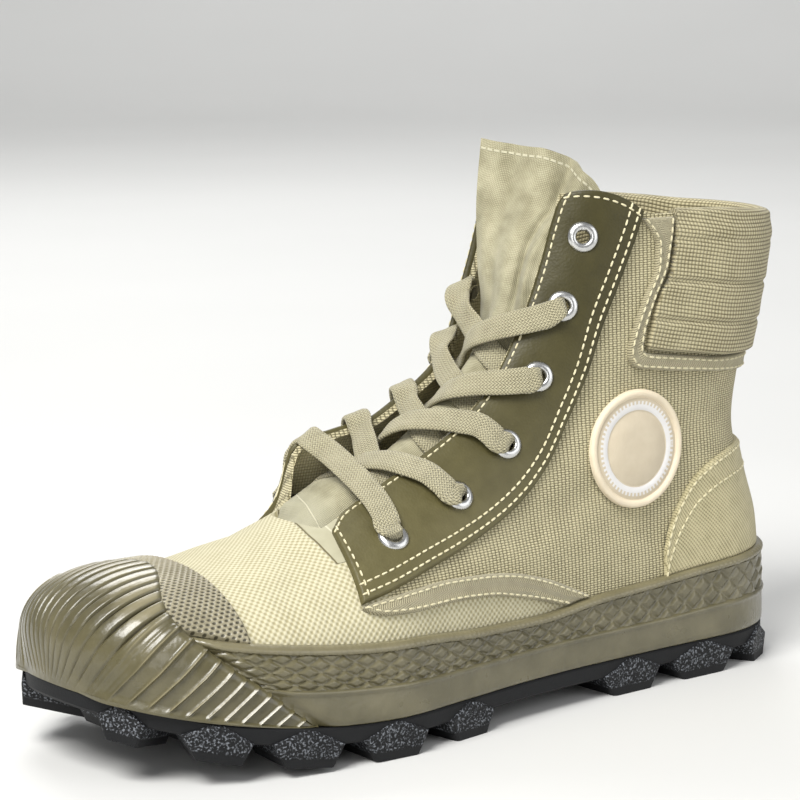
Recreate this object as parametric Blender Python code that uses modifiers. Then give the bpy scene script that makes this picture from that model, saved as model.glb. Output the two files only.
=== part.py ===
"""Canvas combat boot for a left foot, built piece by piece on one last.

The last is the form that the boot is made on. It is one function of x, y and z, and every
piece of the upper and the sole is worked out from it, so that they fit each other.
The toe points to -X, the outer side of the foot to -Y, and the lugs stand on z = 0.
Sizes and tables are in millimetres, and place() turns them into metres.
"""

import math

import bmesh
import bpy
import numpy as np
from mathutils import Matrix, Vector

MM = 0.001
WELD = 0.00001

# The middle of the finished boot in plan, which becomes the origin
MIDDLE_X = 2.224
MIDDLE_Y = 1.346

# Last: toe, ball, heel and shaft
TOE_X = -142.0
TOE_BEND_X = -92.0
TOE_SPRING = 17.0
SPRING_X = -45.0
SPRING_RUN = 102.0
TOE_SWING = 7.0
SWING_X = 20.0
SWING_RUN = 160.0
HEEL_ROUND = 38.0
SHAFT_HALF = 33.5
SHAFT_START_Z = 55.0
SHAFT_FULL_Z = 105.0
SECTION_POWER = 2.15
TOP_POWER = 2.3
TOE_POWER = 2.7
HEEL_POWER = 2.3
REAR_X = 143.0
SHOULDER_LIFT = 0.6
SHAFT_AXIS_X = 105.0
COLLAR_FRONT_X = 48.5
COLLAR_BACK_Z = 160.0

# Bounds and rounds of the searches for points of the last
NEAR = 2.0
FAR = 90.0
ROUNDS = 45

# Sole
SOLE_TOP = 13.0
SEAT = 0.3
PLATE_BOTTOM = 7.0
EDGE_OUT = 4.4
LUG_ROOT = 9.0
LUG_TAPER = 0.58
LUG_INSET = 0.6
INSOLE_THICK = 4.0
INSOLE_CLEAR = 1.1

# Upper and what is sewn on it
WALL = 2.0
GAP = 0.6
BAND_GAP = 0.8
BAND_LIP = 2.6
LEATHER = 1.6
CLOTH = 1.0
WEBBING = 2.4
THROAT_HALF = 14.5
THROAT_X = -52.0
TONGUE_IN = 2.9
TONGUE_THICK = 1.5
TONGUE_TILT = 12.0
TONGUE_TILT_POWER = 4

# Eyelets and lace
EYELET_OUT = 5.3
EYELET_BARREL = 2.9
EYELET_BORE = 2.3
EYELET_HOLE = 3.3
EYELET_HIGH = 0.9
EYELET_DEEP = 3.9
EYELET_BEVEL = 0.7
EYELET_SIDES = 8
LACED = 5
LACE_WIDE = 9.0
LACE_THICK = 1.8

# Ankle badge
BADGE_X = 68.9
BADGE_Z = 84.2
BADGE_RADIUS = 20.7
BADGE_RIM = 2.2
BADGE_FACE = 1.5
BADGE_HIGH = 1.9
BADGE_BEVEL = 0.5
BADGE_SIDES = 24

LATERAL = -1
MEDIAL = 1


def smooth(rows):
    """Monotone curve through (place, value) rows, level beyond both ends."""
    place_of, value = np.array(rows, float).T
    step = np.diff(place_of)
    rate = np.diff(value) / step
    before, after = rate[:-1], rate[1:]
    same_way = before * after > 0
    total = np.where(same_way, before + after, 1.0)
    inner = np.where(same_way, 2 * before * after / total, 0.0)
    slant = np.concatenate((rate[:1], inner, rate[-1:]))

    def curve(at):
        at = np.clip(np.asarray(at, float), place_of[0], place_of[-1])
        i = np.clip(np.searchsorted(place_of, at, side="right") - 1, 0, len(step) - 1)
        t = (at - place_of[i]) / step[i]
        ends = value[i] * (1 + 2 * t) * (1 - t) ** 2 + value[i + 1] * t * t * (3 - 2 * t)
        bends = slant[i] * t * (1 - t) ** 2 + slant[i + 1] * t * t * (t - 1)
        return ends + bends * step[i]

    return curve


# Top line of the last over its length: x, z
ridge = smooth([
    (-150, 60), (-130, 61.5), (-115, 61), (-98, 60.2), (-76, 63.2), (-54, 70), (-33, 81),
    (-10, 94), (10, 108.5), (22, 122), (32, 140), (40, 160), (46, 180), (60, 230), (90, 350),
    (150, 700),
])
# Half width of the foot on its outer and its inner side: x, half width
lateral_half = smooth([
    (-150, 43), (-110, 44.5), (-80, 47.5), (-50, 47.5), (-20, 43.5), (5, 39.5), (40, 36), (80, 34.5),
    (110, 34),
])
medial_half = smooth([
    (-150, 43), (-110, 45), (-80, 45.5), (-50, 42), (-20, 34.5), (10, 30.5), (40, 30.5), (80, 32.5),
    (110, 33),
])
# Height at which the sides begin to close over the foot: x, z
shoulder_line = smooth([(-60, 30), (30, 38)])
# How much the ankle draws the width in: z, share
ankle = smooth([(13, 1.0), (30, 1.0), (45, 0.985), (70, 0.93), (90, 0.93), (120, 0.98), (165, 1.0)])
# Back line of the heel and shaft: z, x
back = smooth([
    (0, 141), (20, 142.5), (35, 143.5), (50, 142.5), (70, 137), (88, 133), (105, 135), (130, 140),
    (150, 144), (175, 147),
])
# Line between the two rubber bands, and the top of the upper one, over the sole: x, height
band_line = smooth([(-150, 12), (-67, 11.4), (-25, 10.4), (70, 10.4), (116, 12), (147, 12.5)])
band_top = smooth([
    (-150, 25), (-85, 25.5), (-62, 24.8), (-37, 23.9), (-8, 21.5), (21, 20.6), (47, 22.9), (75, 24.4),
    (94, 25.8), (145, 28.5),
])
# How far the sole draws in at the toe and spreads beside the ball: x, extra width
ball_flare = smooth([(-150, -2.6), (-130, -2), (-112, 0), (-80, 1.4), (-55, 1.8), (-20, 0.8), (10, 0)])
# How far the upper is drawn in under the rubber of the toe: x, depth
cap_sink = smooth([(-102, 1.1), (-76, 0)])


def rise(x):
    """Toe spring: how far the sole has lifted at x."""
    return TOE_SPRING * np.clip((SPRING_X - x) / SPRING_RUN, 0, None) ** 2


def centre(x):
    """The last's middle line in plan, which swings to the big toe."""
    return TOE_SWING * np.clip((SWING_X - x) / SWING_RUN, 0, None) ** 2


def shoulder(x):
    """Height at which the sides of the last begin to close over the foot."""
    return shoulder_line(x) + SHOULDER_LIFT * rise(x)


def closing(x, z):
    """How far the last has closed at x, z in side view: 0 in the middle, 1 on its outline."""
    toe = np.clip((TOE_BEND_X - x) / (TOE_BEND_X - TOE_X), 0, None)
    top = np.clip((z - shoulder(x)) / (ridge(x) - shoulder(x)), 0, None)
    heel = np.clip((x - back(z) + HEEL_ROUND) / HEEL_ROUND, 0, None)
    return toe**TOE_POWER + top**TOP_POWER + heel**HEEL_POWER


def full_half(x, z, side):
    """Half width before closing: the foot's below, the shaft's above."""
    foot = np.where(side < 0, lateral_half(x), medial_half(x))
    up = np.clip((z - SHAFT_START_Z) / (SHAFT_FULL_Z - SHAFT_START_Z), 0, 1)
    up = up * up * (3 - 2 * up)
    return (foot * (1 - up) + SHAFT_HALF * up) * ankle(z)


def half_width(x, z, side):
    return full_half(x, z, side) * np.clip(1 - closing(x, z), 0, None) ** (1 / SECTION_POWER)


def level(points):
    """The last as one function: below 0 inside, 0 on it, above 0 outside."""
    x, y, z = np.moveaxis(points, -1, 0)
    off = y - centre(x)
    across = np.abs(off) / full_half(x, z, np.sign(off))
    return across**SECTION_POWER + closing(x, z) - 1


def outward(points, flat=False):
    """Unit normal of the last at points, or its level part."""
    reach = 0.02
    steps = reach * np.eye(3)
    slope = np.stack([level(points + step) - level(points - step) for step in steps], -1)
    if flat:
        slope[..., 2] = 0
    return slope / np.linalg.norm(slope, axis=-1, keepdims=True)


def pushed(points, lift, flat=False):
    """Points moved off the last by lift, or moved out level with their distance to the sole kept."""
    moved = points + np.asarray(lift, float)[..., None] * outward(points, flat)
    if flat:
        moved[..., 2] += rise(moved[..., 0]) - rise(points[..., 0])
    return moved


def onto_last(points):
    """Points slid along the slope of the last until they lie on it."""
    points = np.array(points, float)
    reach = 0.02
    for _ in range(ROUNDS):
        normal = outward(points)
        change = (level(points + reach * normal) - level(points - reach * normal)) / (2 * reach)
        points -= np.clip(level(points) / change, -3, 3)[..., None] * normal
    return points


def side_points(x, z, side):
    """Points of the last at x and z, on one side."""
    x, z = np.broadcast_arrays(np.asarray(x, float), np.asarray(z, float))
    return np.stack((x, centre(x) + side * half_width(x, z, side), z), -1)


def toe_top(x):
    """Height of the last's top line at x, with the toe rounded off."""
    toe = np.clip((TOE_BEND_X - x) / (TOE_BEND_X - TOE_X), 0, 1)
    return shoulder(x) + (ridge(x) - shoulder(x)) * (1 - toe**TOE_POWER) ** (1 / TOP_POWER)


def top_points(x, off):
    """Points of the last's upper side, off its middle line by off, to -Y or +Y."""
    x, off = np.broadcast_arrays(np.asarray(x, float), np.asarray(off, float))
    toe = np.clip((TOE_BEND_X - x) / (TOE_BEND_X - TOE_X), 0, None)
    z = ridge(x)
    for _ in range(ROUNDS):
        across = np.abs(off) / full_half(x, z, np.sign(off))
        left = np.clip(1 - toe**TOE_POWER - across**SECTION_POWER, 0, None)
        z = shoulder(x) + (ridge(x) - shoulder(x)) * left ** (1 / TOP_POWER)
    return onto_last(np.stack((x, centre(x) + off, z), -1))


def resample(path, fractions):
    """Points at fractions of a path, measured by length and by turning, so that bends get more."""
    turn_weight = 40.0
    step = np.diff(path, axis=0)
    heading = np.unwrap(np.arctan2(step[:, 1], step[:, 0]))
    turning = np.abs(np.diff(heading, prepend=heading[:1]))
    measure = np.cumsum(np.linalg.norm(step, axis=1) + turn_weight * turning)
    measure = np.concatenate(([0.0], measure)) / measure[-1]
    return np.stack([np.interp(fractions, measure, path[:, k]) for k in range(3)], -1)


def course(height, side, start_x):
    """Close-set points on one side of the last at z = height(x), from start_x to the heel."""
    near, far = REAR_X - HEEL_ROUND, REAR_X + 10
    for _ in range(ROUNDS):
        middle = (near + far) / 2
        if closing(middle, height(middle)) < 1:
            near = middle
        else:
            far = middle
    turn = np.linspace(0, math.pi, 800)
    x = start_x + (near - start_x) * (1 - np.cos(turn)) / 2
    return side_points(x, height(x), side)


def both_sides(height, start_x, count, start_medial=None):
    """One row round the heel, from start_x on the outer side to start_x on the inner side."""
    fractions = np.linspace(0, 1, count + 1)
    outer = resample(course(height, LATERAL, start_x), fractions)
    inner = resample(course(height, MEDIAL, start_x if start_medial is None else start_medial), fractions)
    return np.concatenate((outer, inner[-2::-1]))


def over_sole(height):
    """Height function of a row that keeps its distance to the sole."""
    return lambda x: SOLE_TOP + rise(x) + height(x)


def row_height(front_x, front_z, rear_z):
    """Height function of a row of the upper, from its front point to its point on the back line."""
    gain = front_z - rear_z - rise(front_x)
    return lambda x: rear_z + rise(x) + gain * np.clip((REAR_X - x) / (REAR_X - front_x), 0, None) ** 2


def collar_height(x):
    """Height of the collar's edge behind the eyestay."""
    front = top_points(COLLAR_FRONT_X, -THROAT_HALF)
    return row_height(COLLAR_FRONT_X, front[2], COLLAR_BACK_Z)(x)


def around(degrees, z):
    """Points of the heel and shaft at an angle round their axis, 0 at the back and + on the inner side."""
    degrees, z = np.broadcast_arrays(np.asarray(degrees, float), np.asarray(z, float))
    angle = np.radians(degrees)
    near, far = np.full(angle.shape, NEAR), np.full(angle.shape, FAR)
    for _ in range(ROUNDS):
        middle = (near + far) / 2
        spot = np.stack((SHAFT_AXIS_X + middle * np.cos(angle), middle * np.sin(angle), z), -1)
        inside = level(spot) < 0
        near, far = np.where(inside, middle, near), np.where(inside, far, middle)
    return np.stack((SHAFT_AXIS_X + near * np.cos(angle), near * np.sin(angle), z), -1)


def spread(rows, count):
    """A table of rows turned into count rows on smooth curves through them."""
    rows = np.array(rows, float)
    at = np.linspace(0, len(rows) - 1, count)
    return np.stack([smooth(list(enumerate(column)))(at) for column in rows.T], -1)


def place(points):
    """Millimetres on the last to metres from the boot's origin."""
    return (np.asarray(points, float) - (MIDDLE_X, MIDDLE_Y, 0.0)) * MM


def grid_quads(rows, columns, closed=False):
    """Faces of a grid of points numbered row by row; closed joins the last column to the first."""
    index = np.arange(rows * columns).reshape(rows, columns)
    if closed:
        index = np.hstack((index, index[:, :1]))
    corners = (index[:-1, :-1], index[:-1, 1:], index[1:, 1:], index[1:, :-1])
    return np.stack(corners, -1).reshape(-1, 4)


def new_material(name, colour, roughness, metallic=0.0):
    made = bpy.data.materials.new(name)
    made.use_nodes = True
    shader = made.node_tree.nodes["Principled BSDF"]
    shader.inputs["Base Color"].default_value = (*colour, 1.0)
    shader.inputs["Roughness"].default_value = roughness
    shader.inputs["Metallic"].default_value = metallic
    return made


def new_object(name, points, faces, finish, home, closed=True):
    """An object from points in millimetres, with its doubles merged and, when closed, its faces out."""
    mesh = bpy.data.meshes.new(name)
    mesh.from_pydata(place(points).tolist(), [], [list(map(int, face)) for face in faces])
    work = bmesh.new()
    work.from_mesh(mesh)
    bmesh.ops.remove_doubles(work, verts=work.verts, dist=WELD)
    if closed:
        bmesh.ops.recalc_face_normals(work, faces=work.faces)
    work.to_mesh(mesh)
    work.free()
    mesh.shade_smooth()
    mesh.set_sharp_from_angle(angle=math.radians(40))
    mesh.materials.append(finish)
    made = bpy.data.objects.new(name, mesh)
    home.objects.link(made)
    return made


def sheet(name, grids, thickness, finish, home, inwards=False):
    """Grids on the last as one open surface, which Solidify thickens away from it or inwards."""
    points, faces, start = [], [], 0
    for grid in grids:
        rows, columns = grid.shape[:2]
        quads = grid_quads(rows, columns)
        flat = grid.reshape(-1, 3)
        first, second, third = (flat[quads[:, k]] for k in (0, 1, 2))
        looks = np.cross(second - first, third - first) * outward((first + third) / 2)
        if looks.sum() < 0:
            quads = quads[:, ::-1]
        points.append(flat)
        faces.append(quads + start)
        start += len(flat)
    made = new_object(name, np.concatenate(points), np.concatenate(faces), finish, home, closed=False)
    solid = made.modifiers.new("thickness", "SOLIDIFY")
    solid.thickness = thickness * MM
    solid.offset = -1.0 if inwards else 1.0
    solid.use_even_offset = True
    return made


def loft(name, sections, finish, home, caps=True):
    """Closed sections, each a loop of points, joined one to the next."""
    count, around_count = sections.shape[:2]
    faces = grid_quads(count, around_count, closed=True).tolist()
    if caps:
        faces.append(list(range(around_count)))
        faces.append(list(range((count - 1) * around_count, count * around_count)))
    return new_object(name, sections.reshape(-1, 3), faces, finish, home)


def shell(name, outer, inner, finish, home):
    """Two grids of the same size, one over the other, closed round their edge."""
    rows, columns = outer.shape[:2]
    quads = grid_quads(rows, columns)
    index = np.arange(rows * columns).reshape(rows, columns)
    edge = np.concatenate((index[0], index[1:, -1], index[-1, -2::-1], index[-2:0:-1, 0]))
    following = np.roll(edge, -1)
    under = rows * columns
    rim = np.stack((edge, following, following + under, edge + under), -1)
    points = np.concatenate((outer.reshape(-1, 3), inner.reshape(-1, 3)))
    faces = np.concatenate((quads, quads[:, ::-1] + under, rim))
    return new_object(name, points, faces, finish, home)


def cut(made, cutter):
    """A Boolean difference that takes cutter out of made."""
    boolean = made.modifiers.new("holes", "BOOLEAN")
    boolean.operation = "DIFFERENCE"
    boolean.object = cutter


def sole_outline(out, count):
    """Outer and inner half of the last's outline at the sole, from toe to heel, moved out level by out."""
    fractions = np.linspace(0, 1, count + 1)
    edges = [course(over_sole(lambda x: 0 * x), side, TOE_X) for side in (LATERAL, MEDIAL)]
    halves = [resample(edge, fractions) for edge in edges]
    return [pushed(half, out(half[:, 0]), flat=True) for half in halves]


def slab(halves, low, high):
    """Sections of a plate with that outline, from low to high over the floor, with the toe spring."""
    outer, inner = halves
    corners = []
    for half, height in ((outer, low), (outer, high), (inner, high), (inner, low)):
        corners.append(np.column_stack((half[:, :2], height + rise(half[:, 0]))))
    return np.stack(corners, 1)


# Lugs along the edge of the outsole: x of the middle, length on the floor
EDGE_LUGS = [(-136, 13), (-113, 15), (-84, 17), (-51, 17), (-17, 15), (62, 18), (96, 20), (129, 13)]
EDGE_LUG_DEEP = 21.0
# Lugs along the middle: x of the middle, half width
MIDDLE_LUGS = [(-118, 9), (-98, 14), (-67, 15), (-34, 14), (79, 10), (112, 9)]
MIDDLE_LUG_LONG = 17.0


def lug_corners(spot, along, long, deep, inwards):
    """Bottom and root loops of one lug: it stands at spot, runs along, and reaches deep inwards."""
    loops = []
    for share, root in ((1.0, 0.0), (1 / LUG_TAPER, LUG_ROOT)):
        reach = np.array([(-1, 0), (1, 0), (1, 1), (-1, 1)], float) * (long * share / 2, deep)
        flat = spot[:2] + reach[:, :1] * along + reach[:, 1:] * inwards
        loops.append(np.column_stack((flat, rise(flat[:, 0]) + root)))
    return np.stack(loops)


def make_outsole(finish, home, cutters):
    halves = sole_outline(lambda x: EDGE_OUT + ball_flare(x), 26)
    plate = loft("outsole", slab(halves, PLATE_BOTTOM, SOLE_TOP - SEAT), finish, home, caps=False)
    lugs = []
    for half in sole_outline(lambda x: EDGE_OUT - LUG_INSET + ball_flare(x), 400):
        for x, long in EDGE_LUGS:
            i = int(np.argmin(np.abs(half[:, 0] - x)))
            along = half[i + 1, :2] - half[i - 1, :2]
            along /= np.linalg.norm(along)
            inwards = np.array((-along[1], along[0]))
            inwards *= np.sign(inwards @ (np.array((0.0, centre(x))) - half[i, :2]))
            lugs.append(lug_corners(half[i], along, long, EDGE_LUG_DEEP, inwards))
    for x, half_long in MIDDLE_LUGS:
        spot = np.array((x, centre(x) - half_long))
        lugs.append(lug_corners(spot, np.array((1, 0)), MIDDLE_LUG_LONG, 2 * half_long, np.array((0, 1))))
    points, faces = [], []
    for lug in lugs:
        start = 8 * len(points)
        points.append(lug.reshape(-1, 3))
        faces += (grid_quads(2, 4, closed=True) + start).tolist()
        faces += [[start + k for k in range(4)], [start + k for k in range(4, 8)]]
    tool = new_object("lugs", np.concatenate(points), faces, finish, cutters)
    join = plate.modifiers.new("lugs", "BOOLEAN")
    join.operation = "UNION"
    join.use_self = True
    join.object = tool


def make_insole(finish, home):
    halves = sole_outline(lambda x: -WALL - INSOLE_CLEAR - cap_sink(x), 22)
    loft("insole", slab(halves, SOLE_TOP, SOLE_TOP + INSOLE_THICK), finish, home, caps=False)


# Rubber toe cap: its ribs run from its upper and rear edge down and forward to the sole
CAP_POLE_X = -96.0
CAP_POLE_Z = 25.0
CAP_RIBS = 38
CAP_RIB_DEEP = 1.3
# Its edge from the middle of the toe round to the sole: x, distance to the middle line, z
CAP_EDGE = [
    (-107.5, 0, 61.5), (-109.5, 8, 61), (-114, 17, 58.5), (-118, 25, 55), (-119, 30, 51.5),
    (-117.5, 35, 47.5), (-112.5, 39, 42), (-104, 43, 35), (-95, 45, 28.5), (-87, 46.5, 21.5),
    (-79.5, 47, 15.6),
]
# Share of the way up a rib from the sole, thickness of the cap there over the toe and at its sides
CAP_ROWS = [(0.0, 2.6, 5.2), (0.25, 2.9, 5.0), (0.5, 3.1, 4.8), (0.75, 2.9, 4.6), (1.0, 2.3, 4.4)]
# How much of the side's thickness a rib has: its share of the way round, share of that thickness
cap_side = smooth([(0.3, 0), (0.6, 1)])


def toe_rays(way):
    """Points where rays from a pole inside the toe, along way, leave the last."""
    way = way / np.linalg.norm(way, axis=-1, keepdims=True)
    pole = np.array((CAP_POLE_X, centre(CAP_POLE_X), CAP_POLE_Z))
    near, far = np.full(way.shape[:-1], NEAR), np.full(way.shape[:-1], FAR)
    for _ in range(ROUNDS):
        middle = (near + far) / 2
        inside = level(pole + middle[..., None] * way) < 0
        near, far = np.where(inside, middle, near), np.where(inside, far, middle)
    return pole + near[..., None] * way


def along_path(path, shares):
    """Points at shares of a path's length."""
    run = np.concatenate(([0.0], np.cumsum(np.linalg.norm(np.diff(path, axis=0), axis=1))))
    return np.stack([np.interp(shares, run / run[-1], path[:, k]) for k in range(3)], -1)


def cap_edge_path(side):
    """Close-set points of the cap's edge on one side, from the middle of the toe to the sole."""
    x, off, z = spread(CAP_EDGE, 200).T
    return onto_last(np.stack((x, centre(x) + side * off, z), -1))


def cap_rays(shares, ups):
    """Points of the last under the cap: shares are -1 to 1 across its ribs, ups from sole to edge."""
    pole = np.array((CAP_POLE_X, centre(CAP_POLE_X), CAP_POLE_Z))
    low, high = np.zeros((len(shares), 3)), np.zeros((len(shares), 3))
    for side in (LATERAL, MEDIAL):
        foot = course(over_sole(lambda x: 0 * x), side, TOE_X)
        foot = foot[foot[:, 0] < CAP_EDGE[-1][0]]
        here = shares * side >= 0
        low[here] = along_path(foot, np.abs(shares[here]))
        high[here] = along_path(cap_edge_path(side), np.abs(shares[here]))
    starts, ends = (part - pole for part in (low, high))
    starts /= np.linalg.norm(starts, axis=1, keepdims=True)
    ends /= np.linalg.norm(ends, axis=1, keepdims=True)
    rows = np.stack([toe_rays(starts + (ends - starts) * up) for up in ups])
    rows[0] = low
    return rows


def cap_edge(side):
    """Where the cap's rear edge lies at a height over the sole, as a function."""
    edge = cap_edge_path(side)[::-1]
    height = edge[:, 2] - SOLE_TOP - rise(edge[:, 0])
    return lambda at: np.interp(at, height, edge[:, 0])


# Room left behind the cap for the bands: height over the sole, distance along x
cap_clear = smooth([(0, 1.0), (12, 2.2), (26, 3.6)])


def make_toe_cap(finish, home):
    columns = 2 * CAP_RIBS + 1
    shares = np.linspace(-1, 1, columns)
    ups, over_toe, at_side = np.array(CAP_ROWS).T[..., None]
    grid = cap_rays(shares, ups[:, 0])
    thick = over_toe + (at_side - over_toe) * cap_side(np.abs(shares))
    thick = thick - CAP_RIB_DEEP * (np.arange(columns) % 2)
    outer, inner = pushed(grid, thick), pushed(grid, BAND_GAP + 0 * thick)
    outer[0] = pushed(grid[0], thick[0], flat=True)
    inner[0] = pushed(grid[0], BAND_GAP + 0 * thick[0], flat=True)
    shell("toe_cap", outer, inner, finish, home)


PATCH_REAR_X = -98.5
PATCH_FOOT_Z = 43.8
PATCH_THICK = 1.2
PATCH_SHARE = 0.43
PATCH_CLEAR = 1.6


def patch_grid(rows, columns):
    """Points of the last between the cap's upper edge and the straight front edge of the canvas."""
    share = np.linspace(-1, 1, columns)
    below, edge = cap_rays(PATCH_SHARE * share, np.array((0.0, 0.9, 1.0)))[1:]
    away = (edge - below) / np.linalg.norm(edge - below, axis=1, keepdims=True)
    front = onto_last(edge + PATCH_CLEAR * away)
    wide = [half_width(PATCH_REAR_X, PATCH_FOOT_Z, side) for side in (LATERAL, MEDIAL)]
    rear = top_points(PATCH_REAR_X, np.where(share < 0, wide[0], wide[1]) * share)
    back_share = np.linspace(0, 1, rows)[:, None, None]
    return onto_last(front + (rear - front) * back_share)


def make_toe_patch(finish, home):
    grid = patch_grid(3, 19)
    sheet("toe_patch", [pushed(grid, np.full(grid.shape[:2], GAP))], PATCH_THICK, finish, home)


def make_band(name, rows, finish, home, count=22):
    """A rubber band behind the cap, by rows of height over the sole and distance to the last."""
    edges = cap_edge(LATERAL), cap_edge(MEDIAL)
    loops = []
    for height, out in rows:
        starts = [edge(height(CAP_POLE_X)) + cap_clear(height(CAP_POLE_X)) for edge in edges]
        row = both_sides(over_sole(height), starts[0], count, starts[1])
        loops.append(pushed(row, out(row[:, 0]), flat=True))
    loft(name, np.stack(loops, 1), finish, home)


def band_face(thick, flare):
    """Distance of a band's face to the last over its length: its thickness and a share of the flare."""
    return lambda x: thick + flare * ball_flare(x)


def make_bands(finish, home):
    """Both bands, by rows round their section: height over the sole, distance to the last."""
    on_sole = lambda x: 0 * x
    below = lambda x: band_line(x) - SEAT / 2
    above = lambda x: band_line(x) + SEAT / 2
    middle = lambda x: (band_line(x) + band_top(x)) / 2
    under_lip = lambda x: band_top(x) - BAND_LIP
    on_last = band_face(BAND_GAP, 0.0)
    side_rows = [
        (on_sole, on_last), (on_sole, band_face(EDGE_OUT, 1.0)),
        (below, band_face(3.9, 0.7)), (below, on_last),
    ]
    texture_rows = [
        (middle, on_last), (above, on_last), (above, band_face(3.6, 0.7)), (middle, band_face(3.2, 0.5)),
        (under_lip, band_face(2.6, 0.3)), (under_lip, band_face(3.1, 0.3)), (band_top, band_face(2.8, 0.3)),
        (band_top, on_last),
    ]
    make_band("sidewall_band", side_rows, finish, home)
    make_band("texture_band", texture_rows, finish, home)


# Rows of the upper over the toe, above the one at the sole: x at the front, z at the back
TOE_ROWS = [(-141.5, 22), (-138, 30), (-131, 37), (-118, 44), (-100, 50), (-82, 56), (-66, 62)]
# Rows beside the throat: x at its edge, z at the back
THROAT_ROWS = [
    (THROAT_X, 68), (-38, 75), (-22, 83), (-7, 92), (4, 100), (14, 109), (23, 120), (31, 131), (38, 142),
    (44, 152), (COLLAR_FRONT_X, COLLAR_BACK_Z),
]
UPPER_COLUMNS = 14
FRONT_COLUMNS = 6
THROAT_BOW = 3.0


def upper_grids():
    """The upper as two grids on the last: round the heel up to the throat's edges, and the toe and vamp."""
    fractions = np.linspace(0, 1, UPPER_COLUMNS + 1)
    front_fractions = np.linspace(0, 1, FRONT_COLUMNS + 1)
    closed = [(TOE_X, SOLE_TOP + rise(TOE_X), SOLE_TOP)]
    closed += [(x, float(toe_top(x)), rear) for x, rear in TOE_ROWS]
    round_heel, front = [], []
    for front_x, front_z, rear_z in closed:
        height = row_height(front_x, front_z, rear_z)
        fore, aft = [], []
        for side in (LATERAL, MEDIAL):
            path = course(height, side, front_x)
            split = int(np.argmax(np.abs(path[:, 1] - centre(path[:, 0])) >= THROAT_HALF))
            fore.append(path[: split + 1])
            aft.append(resample(path[split:], fractions))
        round_heel.append(np.concatenate((aft[0], aft[1][-2::-1])))
        front.append(resample(np.concatenate((fore[0][::-1], fore[1][1:])), front_fractions))
    for edge_x, rear_z in THROAT_ROWS:
        aft = []
        for side in (LATERAL, MEDIAL):
            edge = top_points(edge_x, side * THROAT_HALF)
            path = course(row_height(edge_x, edge[2], rear_z), side, edge_x)
            aft.append(resample(path, fractions))
        round_heel.append(np.concatenate((aft[0], aft[1][-2::-1])))
    edges = round_heel[len(closed)][[0, -1]]
    across = edges[0] + (edges[1] - edges[0]) * front_fractions[:, None]
    across[:, 0] -= THROAT_BOW * 4 * front_fractions * (1 - front_fractions)
    lip = onto_last(across)
    lip[[0, -1]] = edges
    front.append(lip)
    grids = np.stack(round_heel), np.stack(front)
    return [pushed(grid, -cap_sink(grid[..., 0])) for grid in grids]


def make_upper(finish, home, holes):
    made = sheet("upper", upper_grids(), WALL, finish, home, inwards=True)
    cut(made, holes)


# Tongue: x on the top line, half width on the outer and the inner side
TONGUE_ROWS = [
    (-63, 20, 20), (-40, 23, 23), (-10, 25, 25), (14, 26, 26), (30, 26, 27), (41, 25, 28), (49.6, 22, 28),
]


def tongue_grid(rows, columns, lift):
    """The tongue under the throat and above the collar; its top edge drops to the outer side."""
    grid = []
    shares = np.linspace(-1, 1, columns)
    for i, (x, outer, inner) in enumerate(spread(TONGUE_ROWS, rows)):
        off = np.where(shares < 0, outer, inner) * shares
        drop = TONGUE_TILT * (1 - shares) / 2 * (i / (rows - 1)) ** TONGUE_TILT_POWER
        start = np.column_stack((x + 0 * off, centre(x) + off, ridge(x) - drop))
        grid.append(onto_last(start))
    return pushed(np.stack(grid), np.full((rows, columns), lift))


def make_tongue(finish, home):
    sheet("tongue", [tongue_grid(14, 8, -TONGUE_IN)], TONGUE_THICK, finish, home, inwards=True)


# Eyestay: x and distance to the middle line of its inner edge, x and z of its outer edge
EYESTAY_ROWS = [
    (-51, 19, -56.5, 51.5), (-42, 15, -45, 53.6), (-28, 15, -30, 57), (-12, 15, -14, 61.5), (2, 15, 1, 67),
    (12, 15, 16, 74), (20, 15, 29, 83.6), (27, 15, 40, 97), (32.5, 15, 47, 110), (37.5, 15, 54.5, 127.7),
    (42, 15, 62.5, 143.6), (46, 15.5, 69.3, 158), (48.5, 17, 72.5, 166),
]
EYESTAY_ARCH = 3.5
EYESTAY_ARCH_POWER = 8


def eyestay_grid(side, rows, columns):
    """Points of the last between the eyestay's inner and outer edge; its top end is arched."""
    grid = []
    shares = np.linspace(0, 1, columns)
    arch = EYESTAY_ARCH * 4 * shares * (1 - shares)
    for i, (inner_x, off, outer_x, outer_z) in enumerate(spread(EYESTAY_ROWS, rows)):
        inner = top_points(inner_x, side * off)
        outer = side_points(outer_x, outer_z, side)
        row = inner + (outer - inner) * shares[:, None]
        row[:, 2] += arch * (i / (rows - 1)) ** EYESTAY_ARCH_POWER
        grid.append(onto_last(row))
    return np.stack(grid)


def make_eyestay(name, side, finish, home, holes):
    grid = eyestay_grid(side, 18, 5)
    made = sheet(name, [pushed(grid, np.full(grid.shape[:2], BAND_GAP))], LEATHER, finish, home)
    cut(made, holes)


# Eyelets from the toe up: x, z
EYELET_ROWS = [(-36, 66), (-7.3, 76), (16, 90.5), (31, 112), (42, 135), (50.6, 158)]


def eyelet_seat(side, row):
    """Middle of an eyelet's flange, and the direction it faces."""
    spot = side_points(*row, side)
    facing = outward(spot)
    return spot + facing * (BAND_GAP + LEATHER + SEAT), facing


def seat_matrix(side, row):
    spot, facing = eyelet_seat(side, row)
    turn = Vector(facing).to_track_quat("Z", "Y").to_matrix().to_4x4()
    return Matrix.Translation(Vector(place(spot))) @ turn


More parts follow.
